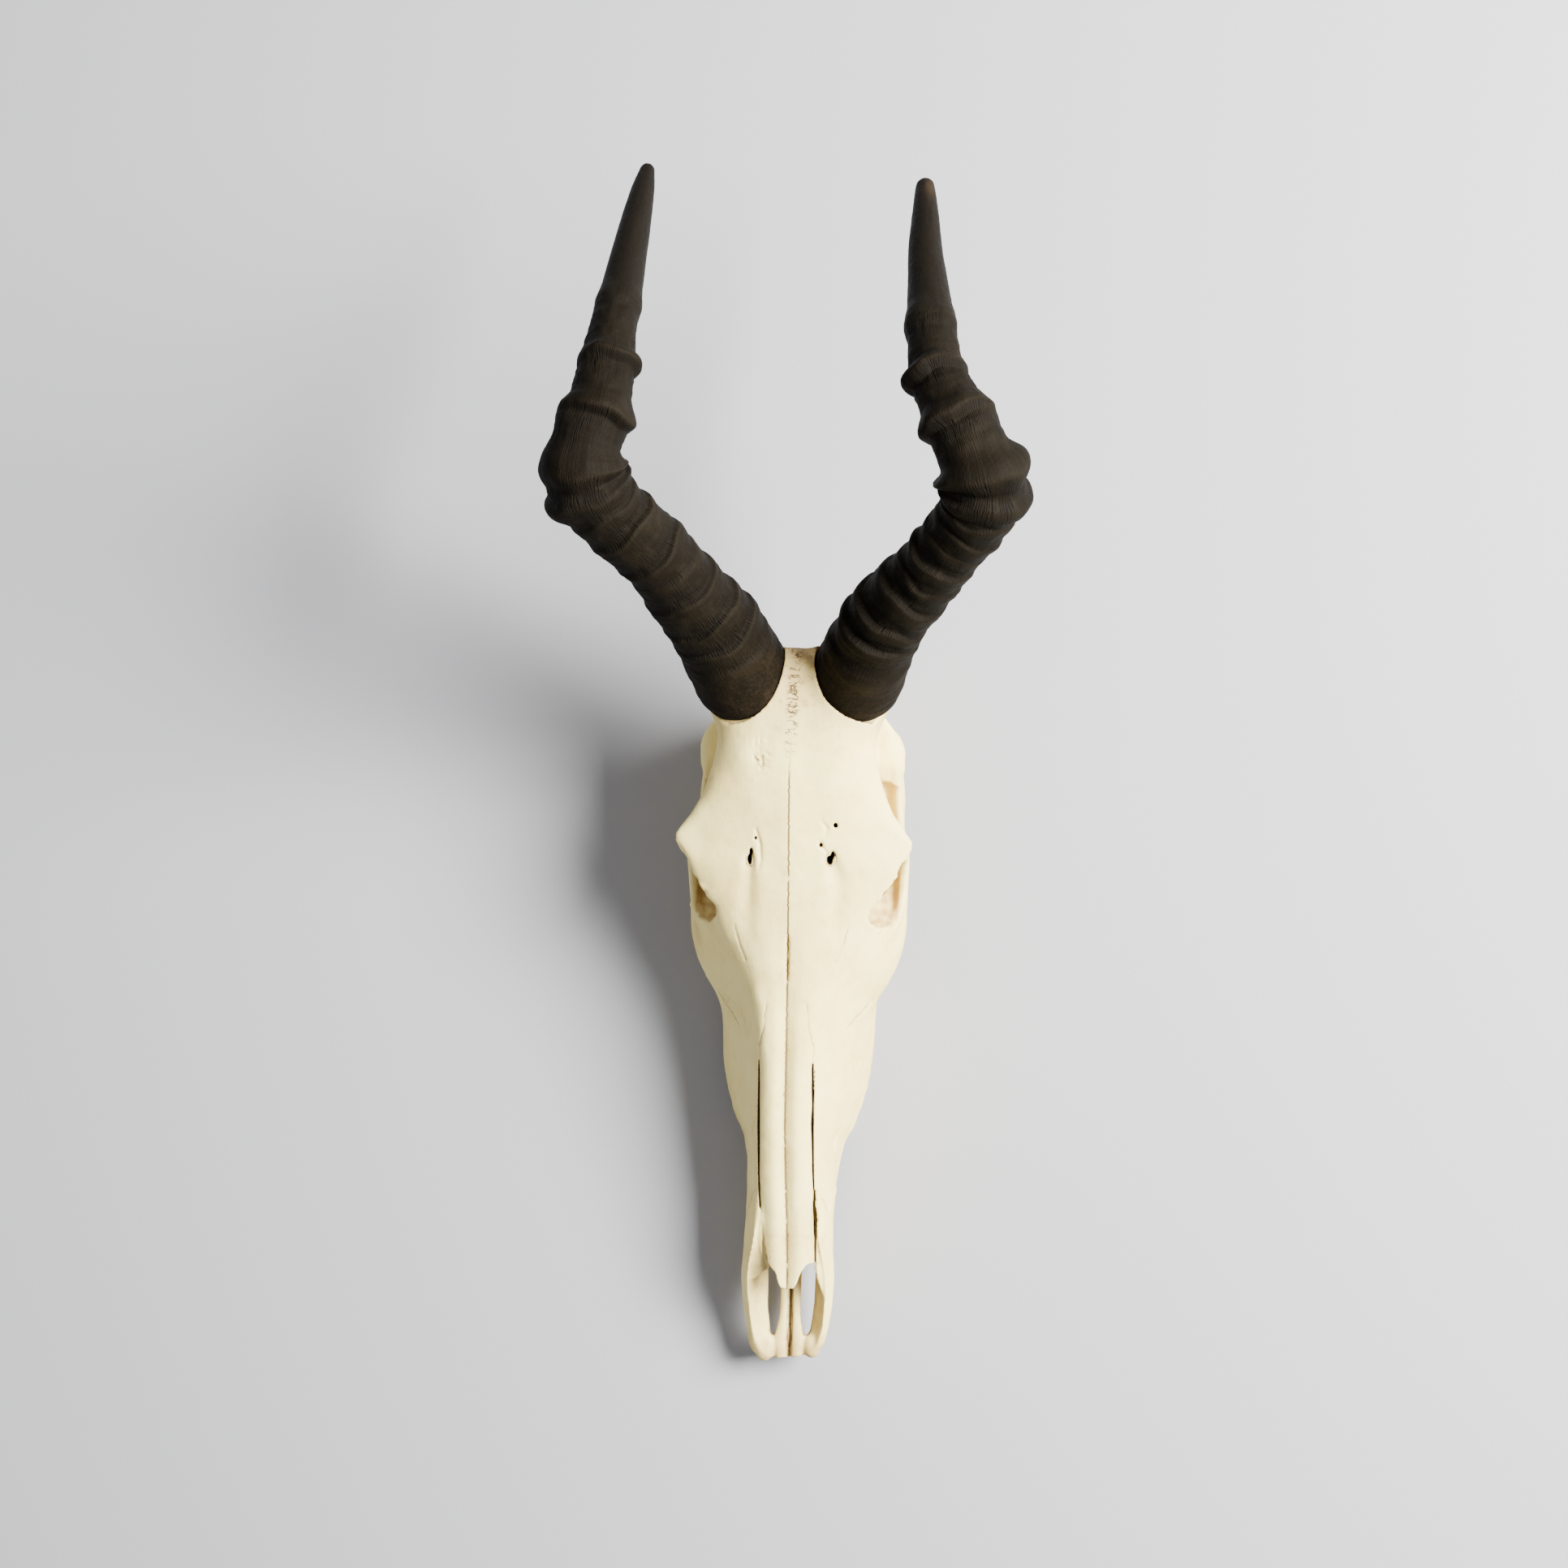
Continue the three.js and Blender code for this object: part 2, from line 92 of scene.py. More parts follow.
BROW_KEELS = [
    [(238, 0, 98), (270, 0, 110), (311, 0, 122.5), (334, 0, 129.5), (355, 0, 135), (390, 0, 143), (408, 0, 146),
     (422, 0, 146), (433, 0, 141), (438, 0, 135)],
    [(238, 10, 97), (270, 18, 109.5), (311, 25, 121.5), (327, 27, 125), (355, 24, 134), (390, 24, 142.5),
     (422, 22, 146), (433, 14, 141), (438, 10, 135)],
    [(238, 18, 95), (270, 36, 103.5), (298, 50, 110.5), (311, 57, 114), (325, 60, 116), (343, 49, 122.5),
     (355, 43.5, 127), (372, 40, 131), (408, 41, 138), (422, 40, 139), (433, 25, 137), (438, 18, 132)],
    [(238, 22, 91), (255, 34.5, 93), (270, 43, 97), (284, 48.5, 100), (291, 55, 102.5), (298, 58.6, 105),
     (311, 63, 109.5), (319, 67.4, 111.6), (324, 70.2, 112), (327, 69.4, 112.6), (334, 64.4, 113.6),
     (343, 58.5, 115.4), (355, 53, 117), (372, 48, 120), (390, 45.5, 124), (408, 46, 127), (422, 45, 128),
     (433, 31, 129), (438, 22, 127)],
    [(238, 18, 86), (255, 30, 86), (284, 44, 93), (298, 55, 100.5), (311, 60, 105.5), (324, 67.2, 109.6),
     (343, 54, 108), (372, 45, 105), (408, 43, 112), (433, 28, 120), (438, 18, 122)],
    [(238, 10, 80), (270, 24, 82), (298, 36, 90), (327, 40, 94), (355, 35, 90), (390, 36, 92), (408, 34, 101),
     (433, 17, 114), (438, 9, 118)],
    [(238, 0, 78), (270, 0, 80), (298, 0, 82), (355, 0, 82), (390, 0, 86), (408, 0, 98), (433, 0, 113),
     (438, 0, 117)],
]
BRAIN_KEELS = [
    [(286, 0, 90), (292, 0, 100), (338, 0, 116), (374, 0, 114), (390, 0, 106), (400, 0, 96), (406, 0, 84)],
    [(286, 8, 86), (292, 14, 96), (338, 27, 108), (374, 27, 108), (390, 24, 100), (400, 18, 91), (406, 8, 81)],
    [(286, 14, 78), (292, 22, 84), (338, 39, 88), (374, 42, 88), (390, 41, 84), (400, 33, 78), (406, 17, 74)],
    [(286, 14, 70), (292, 22, 68), (338, 38, 68), (374, 45, 66), (390, 45, 62), (400, 36, 58), (406, 20, 62)],
    [(286, 8, 62), (292, 14, 55), (338, 26, 52), (374, 33, 48), (390, 34, 46), (400, 27, 45), (406, 14, 53)],
    [(286, 0, 60), (292, 0, 52), (338, 0, 48), (374, 0, 45), (390, 0, 44), (400, 0, 44), (406, 0, 52)],
]
NOSE_KEELS = [
    [(20, 0, 70), (40, 0, 53), (56, 0, 56.5), (110, 0, 69), (170, 0, 82.7), (200, 0, 86), (225, 0, 80)],
    [(20, 20, 70), (40, 13, 52), (56, 13, 55), (110, 12.5, 66.5), (170, 12.5, 79.5), (200, 13, 81), (225, 10, 76)],
    [(20, 24, 54), (40, 21, 46), (56, 20, 48), (110, 17.5, 56), (170, 18.5, 63), (200, 20, 65), (225, 14, 65)],
    [(20, 24, 38), (40, 22.5, 36), (56, 24, 38), (110, 21.5, 42), (170, 24, 48), (200, 26, 51), (225, 16, 55)],
    [(20, 12, 28), (40, 14, 28.5), (56, 17, 29.5), (110, 18, 32), (170, 20, 37), (200, 20, 41), (225, 10, 47)],
    [(20, 0, 28), (40, 0, 28.5), (56, 0, 29.5), (110, 0, 31.5), (170, 0, 36), (200, 0, 39), (225, 0, 43)],
]
# Side bar of the muzzle: lines through the corners of its section, all round.
MUZZLE_LINES = [
    [(4, 9, 20), (8, 10.5, 20), (20, 12.6, 21), (35, 14.3, 21), (50, 14.8, 22), (62, 15.5, 24), (75, 17, 26),
     (92, 18, 28), (114, 19, 30)],
    [(4, 10.5, 23.5), (8, 13, 24.5), (20, 15.6, 26), (35, 17.4, 28), (50, 18, 32), (62, 18.2, 37), (75, 18, 42),
     (92, 18, 46), (114, 17.6, 48)],
    [(4, 12.5, 26.4), (8, 16.6, 28.4), (20, 20.8, 31.6), (35, 22.6, 37.6), (50, 23.2, 45.6), (62, 22.6, 52.6),
     (75, 20.2, 60), (92, 18, 64), (114, 15.6, 66)],
    [(4, 14.4, 26.4), (8, 19, 28), (20, 22.8, 30.8), (35, 24.4, 36.2), (50, 25, 44), (62, 24.4, 50.2), (75, 22.4, 57),
     (92, 19.8, 61), (114, 17, 64)],
    [(4, 17, 24), (8, 22, 24), (20, 25.4, 25), (35, 27.6, 27.5), (50, 28.6, 32), (62, 28.4, 35), (75, 27.6, 38),
     (92, 26.9, 39.5), (114, 24.8, 41)],
    [(4, 12, 18.5), (8, 16, 18), (20, 19.5, 19), (35, 21.2, 19), (50, 22, 20), (62, 22, 21), (75, 22, 21.8),
     (92, 22, 22.4), (114, 21, 24)],
]

# Beams of bone along Y: (y, x, z, half thickness, half height).
CHEEK_ARCH = [(240, 50, 51, 4, 6), (262, 60, 56, 3.8, 8.4), (285, 61.9, 57.5, 3.5, 9), (300, 62.3, 60, 3.3, 9.6),
              (314, 62.6, 63, 3.2, 10), (325, 61.4, 63, 3.1, 8), (335, 59.8, 62, 3, 6.5), (358, 58, 65, 2.8, 5.8),
              (378, 54.5, 68, 4, 6.5), (391, 46, 70, 6, 8), (398, 38, 70, 5, 7)]
JAW_SEAT = [(331, 50, 57, 3, 1.5), (338, 48, 56, 9, 3), (350, 46, 57, 14, 5), (366, 45, 59, 14, 6.5),
            (378, 43, 61, 12, 7)]
ARCH_ROOT = [(362, 51, 68, 6, 5), (372, 50, 70, 9, 7), (385, 47, 72, 11, 8), (396, 40, 73, 9, 9)]
PTERYGOID = [(222, 17.4, 30, 1, 2), (232, 16.6, 32, 1.7, 8), (248, 15.5, 36, 1.7, 12.5), (270, 13.5, 41, 1.7, 13),
             (286, 12.4, 46, 1.7, 9), (300, 11.6, 52, 1, 2)]
SKULL_BASE = [(254, 0, 56, 8, 5), (300, 0, 55, 11, 8), (350, 0, 49, 15, 9), (394, 0, 48, 18, 10)]
MUZZLE_STRIP = [(2, 4.2, 23, 4.4, 3.4), (8, 4.8, 23, 5, 3.8), (14, 4.8, 23, 5, 3.4), (20, 3.9, 23.3, 4.2, 3.1),
                (28, 3.2, 23.6, 3.5, 3), (44, 3, 24.5, 3.3, 2.8), (60, 3, 26, 3.4, 2.6), (80, 3, 27.5, 3.4, 2.6)]
PALATE = [(63, 10, 24, 14, 2), (70, 11, 24.5, 15, 2.4), (86, 12, 25, 14, 2.6), (108, 12, 27, 12, 2)]
# Beams of bone along Z: (z, x, y, half thickness, half depth).
BROW_BAR = [(54, 61.5, 318, 3.4, 9), (60, 61.8, 321, 3.2, 7.5), (80, 63.8, 325, 3, 5.4), (98, 65.6, 323.6, 2.8, 4.4),
            (109, 66.4, 321, 2.2, 4)]
PRONG = [(0, 35, 391, 3.2, 6), (20, 35, 391, 4.4, 8.5), (44, 36, 387, 6, 10.5), (62, 36, 380, 9, 11)]

# Ellipsoids: middle and half sizes.
ORBIT = ((66, 297, 86), (38, 24.5, 20.5))
TEMPLE = ((46.5, 317, 66), (14.5, 25, 30))
ORBIT_NOTCH = ((53.5, 281.5, 97), (8, 6.5, 13))
INFRAORBITAL = ((30, 139, 45), (4.5, 6, 2.6))
SPINE_HOLE = ((0, 404, 58), (10, 26, 11))
MUZZLE_TIP = ((14.5, 8.6, 23), (5.8, 8.2, 5.2))
EAR_BULB = ((22, 361, 43), (9, 15, 11))
CONDYLE = ((15.5, 400, 45), (10.5, 12, 17))
# Chains of round rods: (x, y, z, radius).
NAPE_CREST = [(0, 403, 95, 3.5), (16, 401, 92, 3.5), (32, 395, 83, 3.6), (43, 386, 69, 4)]
ARCH_CREST = [(44, 401, 82, 2.6), (50.5, 395, 79, 2.8), (56, 387.5, 75, 3), (58.5, 380, 71.5, 3), (57.5, 370, 68, 3)]
ORBIT_RIM = [(48, 264, 76, 2.4), (56, 271.5, 71, 2.4), (62, 282, 68.6, 2.2), (64.2, 297, 69, 2), (65, 307, 71.4, 2),
             (65.4, 314, 75.6, 2), (65.6, 319, 82, 2.2)]
EAR_TUBE = [(28, 362, 52, 5), (46, 367, 61, 5.6)]
EAR_HOLE = [(37, 373, 54, 2.6), (62, 389, 59, 3.4)]
THROAT = [(0, 205, 54, 10), (0, 226, 50, 10), (0, 246, 43, 10.5), (0, 268, 35, 11.5), (0, 292, 27, 13)]
# Sheets that close the muzzle's bars against the nasal bones: (y, x and z of one edge, x and z of the other,
# half thickness).
PLATES = [
    [(53, -20.8, 45, -23, 44.2, 0.8), (57, -17.4, 48.4, -22.7, 46.4, 1.1), (61, -13, 52, -22.2, 49.2, 1.3),
     (66, -12, 54.8, -21.5, 52.4, 1.4), (72, -13.2, 57.2, -20.6, 55.6, 1.4), (80, -14, 60, -19.8, 59.2, 1.4),
     (92, -15, 64.2, -18.8, 63, 1.4), (106, -15.8, 66.6, -18, 65.6, 0.7)],
    [(42, 23.2, 40.2, 24, 39.8, 0.4), (50, 20.8, 46, 23.6, 44.4, 1), (60, 18, 53, 23, 50, 1.4),
     (70, 17.4, 57.4, 21.6, 55.6, 1.5), (82, 17, 61.6, 20.4, 60, 1.5), (94, 16.8, 65.2, 19.6, 64, 1.5),
     (106, 16.6, 68, 19, 67, 1)],
]
# The gap along the muzzle's strip, as its half width, its floor and its end in y, and the rod that closes its floor.
STRIP_GAP = (0.75, 21.2, 63)
STRIP_FLOOR = [(0, 3, 21.2, 1.4), (0, 64, 23, 1.4)]
# Slits beside the nasal bones: (y, distance from the middle, half width).
SLITS = {
    -1: [(95, 15.8, 0.1), (102, 15.9, 0.45), (108, 16, 0.5), (125, 16, 0.55), (150, 15.8, 0.6), (175, 15.8, 0.55),
         (187, 16, 0.45), (192, 16, 0.25)],
    1: [(58, 16.3, 0.6), (68, 16.5, 0.5), (78, 16.9, 0.55), (86, 17.1, 0.9), (95, 17.2, 1.35), (104, 16.6, 0.95),
        (112, 16.3, 0.6), (125, 16, 0.55), (150, 15.8, 0.52), (180, 15.6, 0.52), (187, 15.5, 0.6), (191, 15.5, 0.3)],
}
# Front edge of the nasal bones on each side: y against the distance from the middle.
NOSE_EDGE = {
    -1: [(0, 50), (4, 50.5), (5.6, 54), (7, 60), (9.5, 62.5), (11, 64), (12.2, 67), (13.5, 76), (14.6, 86),
         (15.6, 98)],
    1: [(0, 50), (4, 50.5), (6, 53.5), (6.8, 55.5), (8.6, 61), (11.7, 65.6), (14, 66.4), (16, 66.4)],
}
# Holes in the forehead: (x, y, half width, half length).
BROW_HOLES = [(-24.6, 312.4, 1.7, 3.2), (-23.5, 317, 1.2, 2.4), (23, 313.6, 1.9, 3), (24.6, 317, 1.1, 2.2),
              (25.8, 334.4, 1.2, 1.6), (18.4, 322.5, 0.7, 1.4), (-20.5, 325.2, 0.8, 1.0)]
# Troughs in the forehead: points of (x, y, half width, depth).
TROUGHS = [
    [(-24.2, 313, 3.2, 2.0), (-24.3, 306, 4.2, 1.9), (-25, 293, 5.2, 1.6), (-25.7, 281, 6, 1.2), (-25, 258, 6.5, 0)],
    [(24, 315, 3.2, 2.2), (26.4, 309, 4.2, 2.1), (28.5, 300, 5.2, 1.8), (28.8, 290, 5.8, 1.5), (28, 278, 6.2, 1.1),
     (26, 256, 6.5, 0)],
    [(-20.4, 331, 1.2, 0.6), (-17.4, 322, 1.3, 1.0), (-16.9, 313, 1.3, 0.9), (-19, 304, 1.4, 0)],
    [(19.2, 336.5, 0.9, 0.5), (21.4, 333, 1, 1.1), (20.6, 329, 0.9, 0.5)],
    [(17.6, 325, 0.9, 0.4), (19.5, 321, 1, 0.9), (22, 318, 1, 0.6)],
]
# The line of the nose against y: it leans a little to one side.
DRIFT = [(0, 1.7), (60, 1.7), (90, 1.0), (120, -0.4), (150, -1.4), (300, -1.3), (370, -1.8), (410, -0.5), (430, 0)]

# Seams between bones in top view: points of (x, y) on the right half, and how strong the seam is.
SEAMS = [
    ([(15.9, 191), (16.6, 200), (13.6, 212), (12.2, 226)], 0.8),
    ([(33, 211), (37.5, 217.5), (42, 222), (47, 229)], 0.8),
    ([(27, 252), (29, 257), (31.5, 264), (33.5, 272)], 0.9),
    ([(17, 112), (21, 108), (24, 98)], 0.5),
]

# Cheek teeth: (start in y, length, width, distance from the middle); the top of them all; how square they are, where
# 2 is an oval; and the room between a tooth and its socket.
TEETH = {
    "premolar_2": (139.5, 8.5, 6, 28.5), "premolar_3": (148.6, 11, 9, 30.8), "premolar_4": (160.2, 12, 11, 33.4),
    "molar_1": (172.8, 17.5, 13, 35.6), "molar_2": (190.9, 21, 13.5, 36.8), "molar_3": (212.5, 22, 13, 37),
}
TOOTH_TOP = 23.0
TOOTH_SQUARE = 3.4
TOOTH_ROOM = 0.2

# Horns: side, middle line, radius against length along it, and rings as (length, height inside, height outside,
# reach towards the head, reach towards the tip).
HORNS = {
    "horn_left": (
        -1,
        [(-32.2, 420.5, 128), (-34.4, 425, 134), (-46, 448, 165), (-60, 465, 190), (-74.5, 484, 215),
         (-95, 502, 240), (-109, 520, 256), (-109, 539, 262), (-103, 558, 260), (-101, 583, 251), (-100, 609, 236),
         (-98.5, 631, 222), (-97, 655, 208), (-95.5, 679, 193), (-93.5, 711, 172)],
        [(0, 28.8), (20, 27.6), (41, 25.6), (74, 22.6), (109, 21), (146, 21), (176, 22), (194, 19.5), (221, 17.2),
         (253, 14.6), (271, 13), (298, 11.6), (324, 10), (353, 8.2), (372, 6.5), (392, 3.4)],
        [(26, 1, 0.2, 12, 3), (42, 2.6, 0.2, 13, 2.6), (59, 2.6, 0.2, 13, 2.6), (82, 2.5, 0.3, 15, 2.8),
         (100, 1, 0.2, 9, 2.4), (116, 2.4, 0.3, 11, 2.8), (141, 2.8, 0.3, 12, 3), (156, 1.6, 0.6, 8, 3),
         (168, 1.8, 5.6, 9, 5), (182, 3.6, 3.6, 7, 13), (206, 0, 3, 10, 14), (211, 5, 0.3, 5, 12),
         (242, 5, 0.3, 5.5, 8), (284, 1.3, 0.6, 9, 14)],
    ),
    "horn_right": (
        1,
        [(34.6, 421.5, 127.8), (37, 425.6, 134), (44.6, 440, 155), (54.5, 455.5, 175), (68, 469.5, 194),
         (81.5, 483, 212), (92.5, 495.5, 228), (103.5, 508, 243), (109, 524, 257), (103, 539.5, 262),
         (91, 562.5, 258), (80.5, 585, 248), (75.5, 614, 232), (72.5, 636, 219), (69.5, 659.5, 206),
         (68, 683, 192), (66.5, 704, 178)],
        [(0, 27.2), (28, 24.9), (56, 22.6), (83, 20.8), (110, 19.4), (133, 19.2), (154, 20), (177, 22), (195, 20),
         (222, 17.4), (255, 14.8), (281, 13.3), (308, 11.3), (334, 9.4), (361, 7.3), (379, 5.4), (389, 3.4)],
        [(26, 1.2, 0.2, 12, 3), (47, 3.4, 0.2, 14, 3), (63, 3.4, 0.2, 12, 3), (86, 3.4, 0.3, 16, 3.2),
         (103, 1.6, 0.2, 9, 2.6), (119, 3.2, 0.3, 11, 3.2), (134, 1.2, 0.4, 8, 2.2), (147, 1.4, 1, 8, 2.4),
         (159, 1.8, 1.6, 8, 2.6), (170, 3.2, 5, 9, 4), (183, 6, 6.2, 7, 10), (210, 0, 2.4, 10, 12),
         (214, 6.2, 0.3, 5.5, 12), (243, 6, 0.4, 6, 8), (278, 2, 0.8, 10, 14)],
    ),
}
# Lengths in those tables start this far along the middle line. The foot dips towards its front, by this much at the
# core's radius. The room is between the foot and the bone round it.
HORN_FOOT = 8.0
HORN_DIP = 7.0
HORN_ROOM = 0.5
# The radius at which noise is wrapped round a horn.
HORN_SKIN = 22.0
# The core of bone under each horn: its radius, and how far it reaches below and above the horn's foot.
CORE_RADIUS = 25.6
CORE_DEPTH = 40.0
CORE_TOP = 10.0

# Lamps of the stage: (name, place in metres, size in metres, power in watts), and where they and the camera point.
LAMPS = [("key", (1.45, 0.42, 1.5), 1.0, 340), ("fill", (-1.4, -0.5, 1.9), 1.6, 4)]
LIT_AT = (0, 330, 80)
SEEN_AT = (-9.8, 358, 80)
SKY = (0.97, 0.98, 1.06)
SKY_STRENGTH = 0.45
FLOOR_HALF = 6.0
SENSOR_WIDTH = 36.0


def skull_zero():
    """Where the skull's own zero lies in the frame, in metres."""
    low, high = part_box("skull")
    return np.array([(low[0] + high[0]) / 2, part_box("molar_2_left")[0][1] - TEETH["molar_2"][0] / 1000, 0.0])


ZERO = skull_zero()


def to_frame(points):
    """Millimetres in the skull's axes to metres in the frame."""
    return np.asarray(points, float) / 1000 + ZERO


def follow(rows, at):
    """A cubic through each column of the rows, against their first column, at the places asked for."""
    rows = np.asarray(rows, float)
    at = np.clip(np.asarray(at, float), rows[0, 0], rows[-1, 0])
    key, values = rows[:, 0], rows[:, 1:]
    before = np.r_[0, np.arange(len(key) - 1)]
    after = np.r_[np.arange(1, len(key)), len(key) - 1]
    slope = (values[after] - values[before]) / (key[after] - key[before])[:, None]
    i = np.clip(np.searchsorted(key, at, side="right") - 1, 0, len(key) - 2)
    span = (key[i + 1] - key[i])[..., None]
    t = (at - key[i])[..., None] / span
    step = values[i + 1] - values[i]
    bend = (1 - t) * (slope[i] * span - step) - t * (slope[i + 1] * span - step)
    return values[i] + t * step + t * (1 - t) * bend


def smooth_min(a, b, blend):
    """The lesser of two distances, rounded over where they are nearly equal."""
    near = np.maximum(blend - np.abs(a - b), 0) / blend
    return np.minimum(a, b) - near * near * (blend / 4)


def curl(points, seed):
    """Smooth noise between -1 and 1: random numbers on a cubic lattice, eased between its corners."""
    cell = np.floor(points).astype(np.int64)
    t = points - cell
    t = t * t * (3 - 2 * t)
    total = np.zeros(len(points))
    for corner in np.ndindex(2, 2, 2):
        c = cell + corner
        mix = (c[:, 0] * 73856093) ^ (c[:, 1] * 19349663) ^ (c[:, 2] * 83492791) ^ (seed * 2654435761)
        mix = (mix ^ (mix >> 13)) * 1274126177
        mix = (mix ^ (mix >> 16)) & 0xFFFF
        weight = np.prod(np.where(np.array(corner) == 1, t, 1 - t), axis=1)
        total += weight * (mix / 32767.5 - 1)
    return total


def beside(x, y, a, b):
    """How far along the line from a to b each place lies, from 0 to 1, and its offset from the line there."""
    dx, dy = b[0] - a[0], b[1] - a[1]
    t = np.clip(((x - a[0]) * dx + (y - a[1]) * dy) / (dx * dx + dy * dy), 0, 1)
    return t, x - a[0] - t * dx, y - a[1] - t * dy


def along(x, y, z, way):
    """How far each place of a grid lies along a direction."""
    return x * way[0] + y * way[1] + z * way[2]


class BoneField:
    """Distances to the bone's surface, in millimetres, on a grid over its right half: negative inside."""

    def __init__(self, low, high, step):
        self.axes = [np.arange(a, b + step / 2, step, dtype=np.float32) for a, b in zip(low, high)]
        self.step = step
        self.d = np.full([len(axis) for axis in self.axes], 40.0, np.float32)

    def window(self, low, high, margin=9.0):
        """The part of the grid round a box, with its x, y and z ready to be combined."""
        pick = []
        for axis, a, b in zip(self.axes, low, high):
            first = min(int(np.searchsorted(axis, a - margin)), len(axis) - 1)
            pick.append(slice(first, max(int(np.searchsorted(axis, b + margin)), first + 1)))
        x, y, z = (axis[s] for axis, s in zip(self.axes, pick))
        return tuple(pick), x[:, None, None], y[None, :, None], z[None, None, :]

    def join(self, pick, d, blend):
        """Adds a body, rounded over where it meets what is there."""
        self.d[pick] = smooth_min(self.d[pick], d, blend)

    def cut(self, pick, d, blend):
        """Takes a body away, with its edge rounded over."""
        self.d[pick] = -smooth_min(-self.d[pick], d, blend)

    def ball(self, body):
        """An ellipsoid: the length of the scaled offset from its middle, less one."""
        at, half = body
        pick, x, y, z = self.window([a - h for a, h in zip(at, half)], [a + h for a, h in zip(at, half)])
        r = np.sqrt(((x - at[0]) / half[0]) ** 2 + ((y - at[1]) / half[1]) ** 2 + ((z - at[2]) / half[2]) ** 2)
        return pick, (r - 1) * min(half)

    def rod(self, points):
        """A chain of round rods: the distance to the nearest line of the chain, less its radius there."""
        p = np.asarray(points, np.float32)
        r = p[:, 3].max()
        pick, x, y, z = self.window(p[:, :3].min(0) - r, p[:, :3].max(0) + r)
        best = np.float32(1e6)
        for a, b in zip(p[:-1], p[1:]):
            v = b[:3] - a[:3]
            t = np.clip(((x - a[0]) * v[0] + (y - a[1]) * v[1] + (z - a[2]) * v[2]) / (v @ v), 0, 1)
            away = np.sqrt((x - a[0] - t * v[0]) ** 2 + (y - a[1] - t * v[1]) ** 2 + (z - a[2] - t * v[2]) ** 2)
            best = np.minimum(best, away - a[3] - t * (b[3] - a[3]))
        return pick, best

    def beam(self, rows, upright=False):
        """An oval bar along Y, or along Z if upright: its middle and half sizes follow the rows."""
        rows = np.asarray(rows, float)
        low, high = rows.min(0), rows.max(0)
        if upright:
            box = ([low[1] - high[3], low[2] - high[4], low[0]], [high[1] + high[3], high[2] + high[4], high[0]])
        else:
            box = ([low[1] - high[3], low[0], low[2] - high[4]], [high[1] + high[3], high[0], high[2] + high[4]])
        pick, x, y, z = self.window(*box)
        key, other = (z, y) if upright else (y, z)
        middle, off, thick, tall = np.moveaxis(follow(rows, key).astype(np.float32), -1, 0)
        past = np.maximum(low[0] - key, key - high[0])
        d = (np.sqrt(((x - middle) / thick) ** 2 + ((other - off) / tall) ** 2) - 1) * np.minimum(thick, tall)
        return pick, np.maximum(d, past)

    def sheet(self, rows):
        """A sheet along Y: the distance, in each cross section, to the line between its two edges, less half
        its thickness."""
        rows = np.asarray(rows, float)
        low, high = rows.min(0), rows.max(0)
        pick, x, y, z = self.window([min(low[1], low[3]), low[0], min(low[2], low[4])],
                                    [max(high[1], high[3]), high[0], max(high[2], high[4])])
        ax, az, bx, bz, half = np.moveaxis(follow(rows, y).astype(np.float32), -1, 0)
        _, ex, ez = beside(x, z, (ax, az), (bx, bz))
        return pick, np.maximum(np.hypot(ex, ez) - half, np.maximum(low[0] - y, y - high[0]))

    def section_body(self, lines, ring=False):
        """A body given by a curve in each cross section. The curve is a spline through the lines' points;
        the distance is to the nearest piece of it, and the sign comes from counting crossings above."""
        first = max(min(row[0] for row in line) for line in lines)
        last = min(max(row[0] for row in line) for line in lines)
        table = np.vstack([np.array(line)[:, 1:] for line in lines])
        low, high = table.min(0), table.max(0)
        pick, x, y, z = self.window([low[0], first, low[1]], [high[0], last, high[1]])
        at = np.clip(y[0, :, 0], first, last)
        past = np.maximum(first - y, y - last)
        p = np.stack([follow(line, at) for line in lines], axis=1)
        if ring:
            p = np.concatenate([p[:, -1:], p, p[:, :2]], axis=1)
        else:
            p = np.concatenate([p[:, 1:2] * (-1, 1), p, p[:, -2:-1] * (-1, 1)], axis=1)
        t = np.linspace(0, 1, 5, endpoint=False)[None, None, :, None]
        a, b, c, e = p[:, :-3, None], p[:, 1:-2, None], p[:, 2:-1, None], p[:, 3:, None]
        curve = 0.5 * (2 * b + (c - a) * t + (2 * a - 5 * b + 4 * c - e) * t ** 2 + (3 * b - a - 3 * c + e) * t ** 3)
        curve = np.concatenate([curve.reshape(len(at), -1, 2), p[:, -2:-1]], axis=1).astype(np.float32)
        best = np.float32(1e9)
        inside = np.zeros((x.shape[0], y.shape[1], z.shape[2]), bool)
        for i in range(curve.shape[1] - 1):
            ax, az = curve[None, :, i, 0, None], curve[None, :, i, 1, None]
            dx, dz = curve[None, :, i + 1, 0, None] - ax, curve[None, :, i + 1, 1, None] - az
            run = np.clip(((x - ax) * dx + (z - az) * dz) / (dx * dx + dz * dz + 1e-9), 0, 1)
            best = np.minimum(best, (x - ax - run * dx) ** 2 + (z - az - run * dz) ** 2)
            spans = (ax > x) != (ax + dx > x)
            level = az + (x - ax) * dz / np.where(np.abs(dx) < 1e-6, 1e-6, dx)
            inside ^= spans & (z < level)
        d = np.sqrt(best)
        return pick, np.maximum(np.where(inside, -d, d), past)

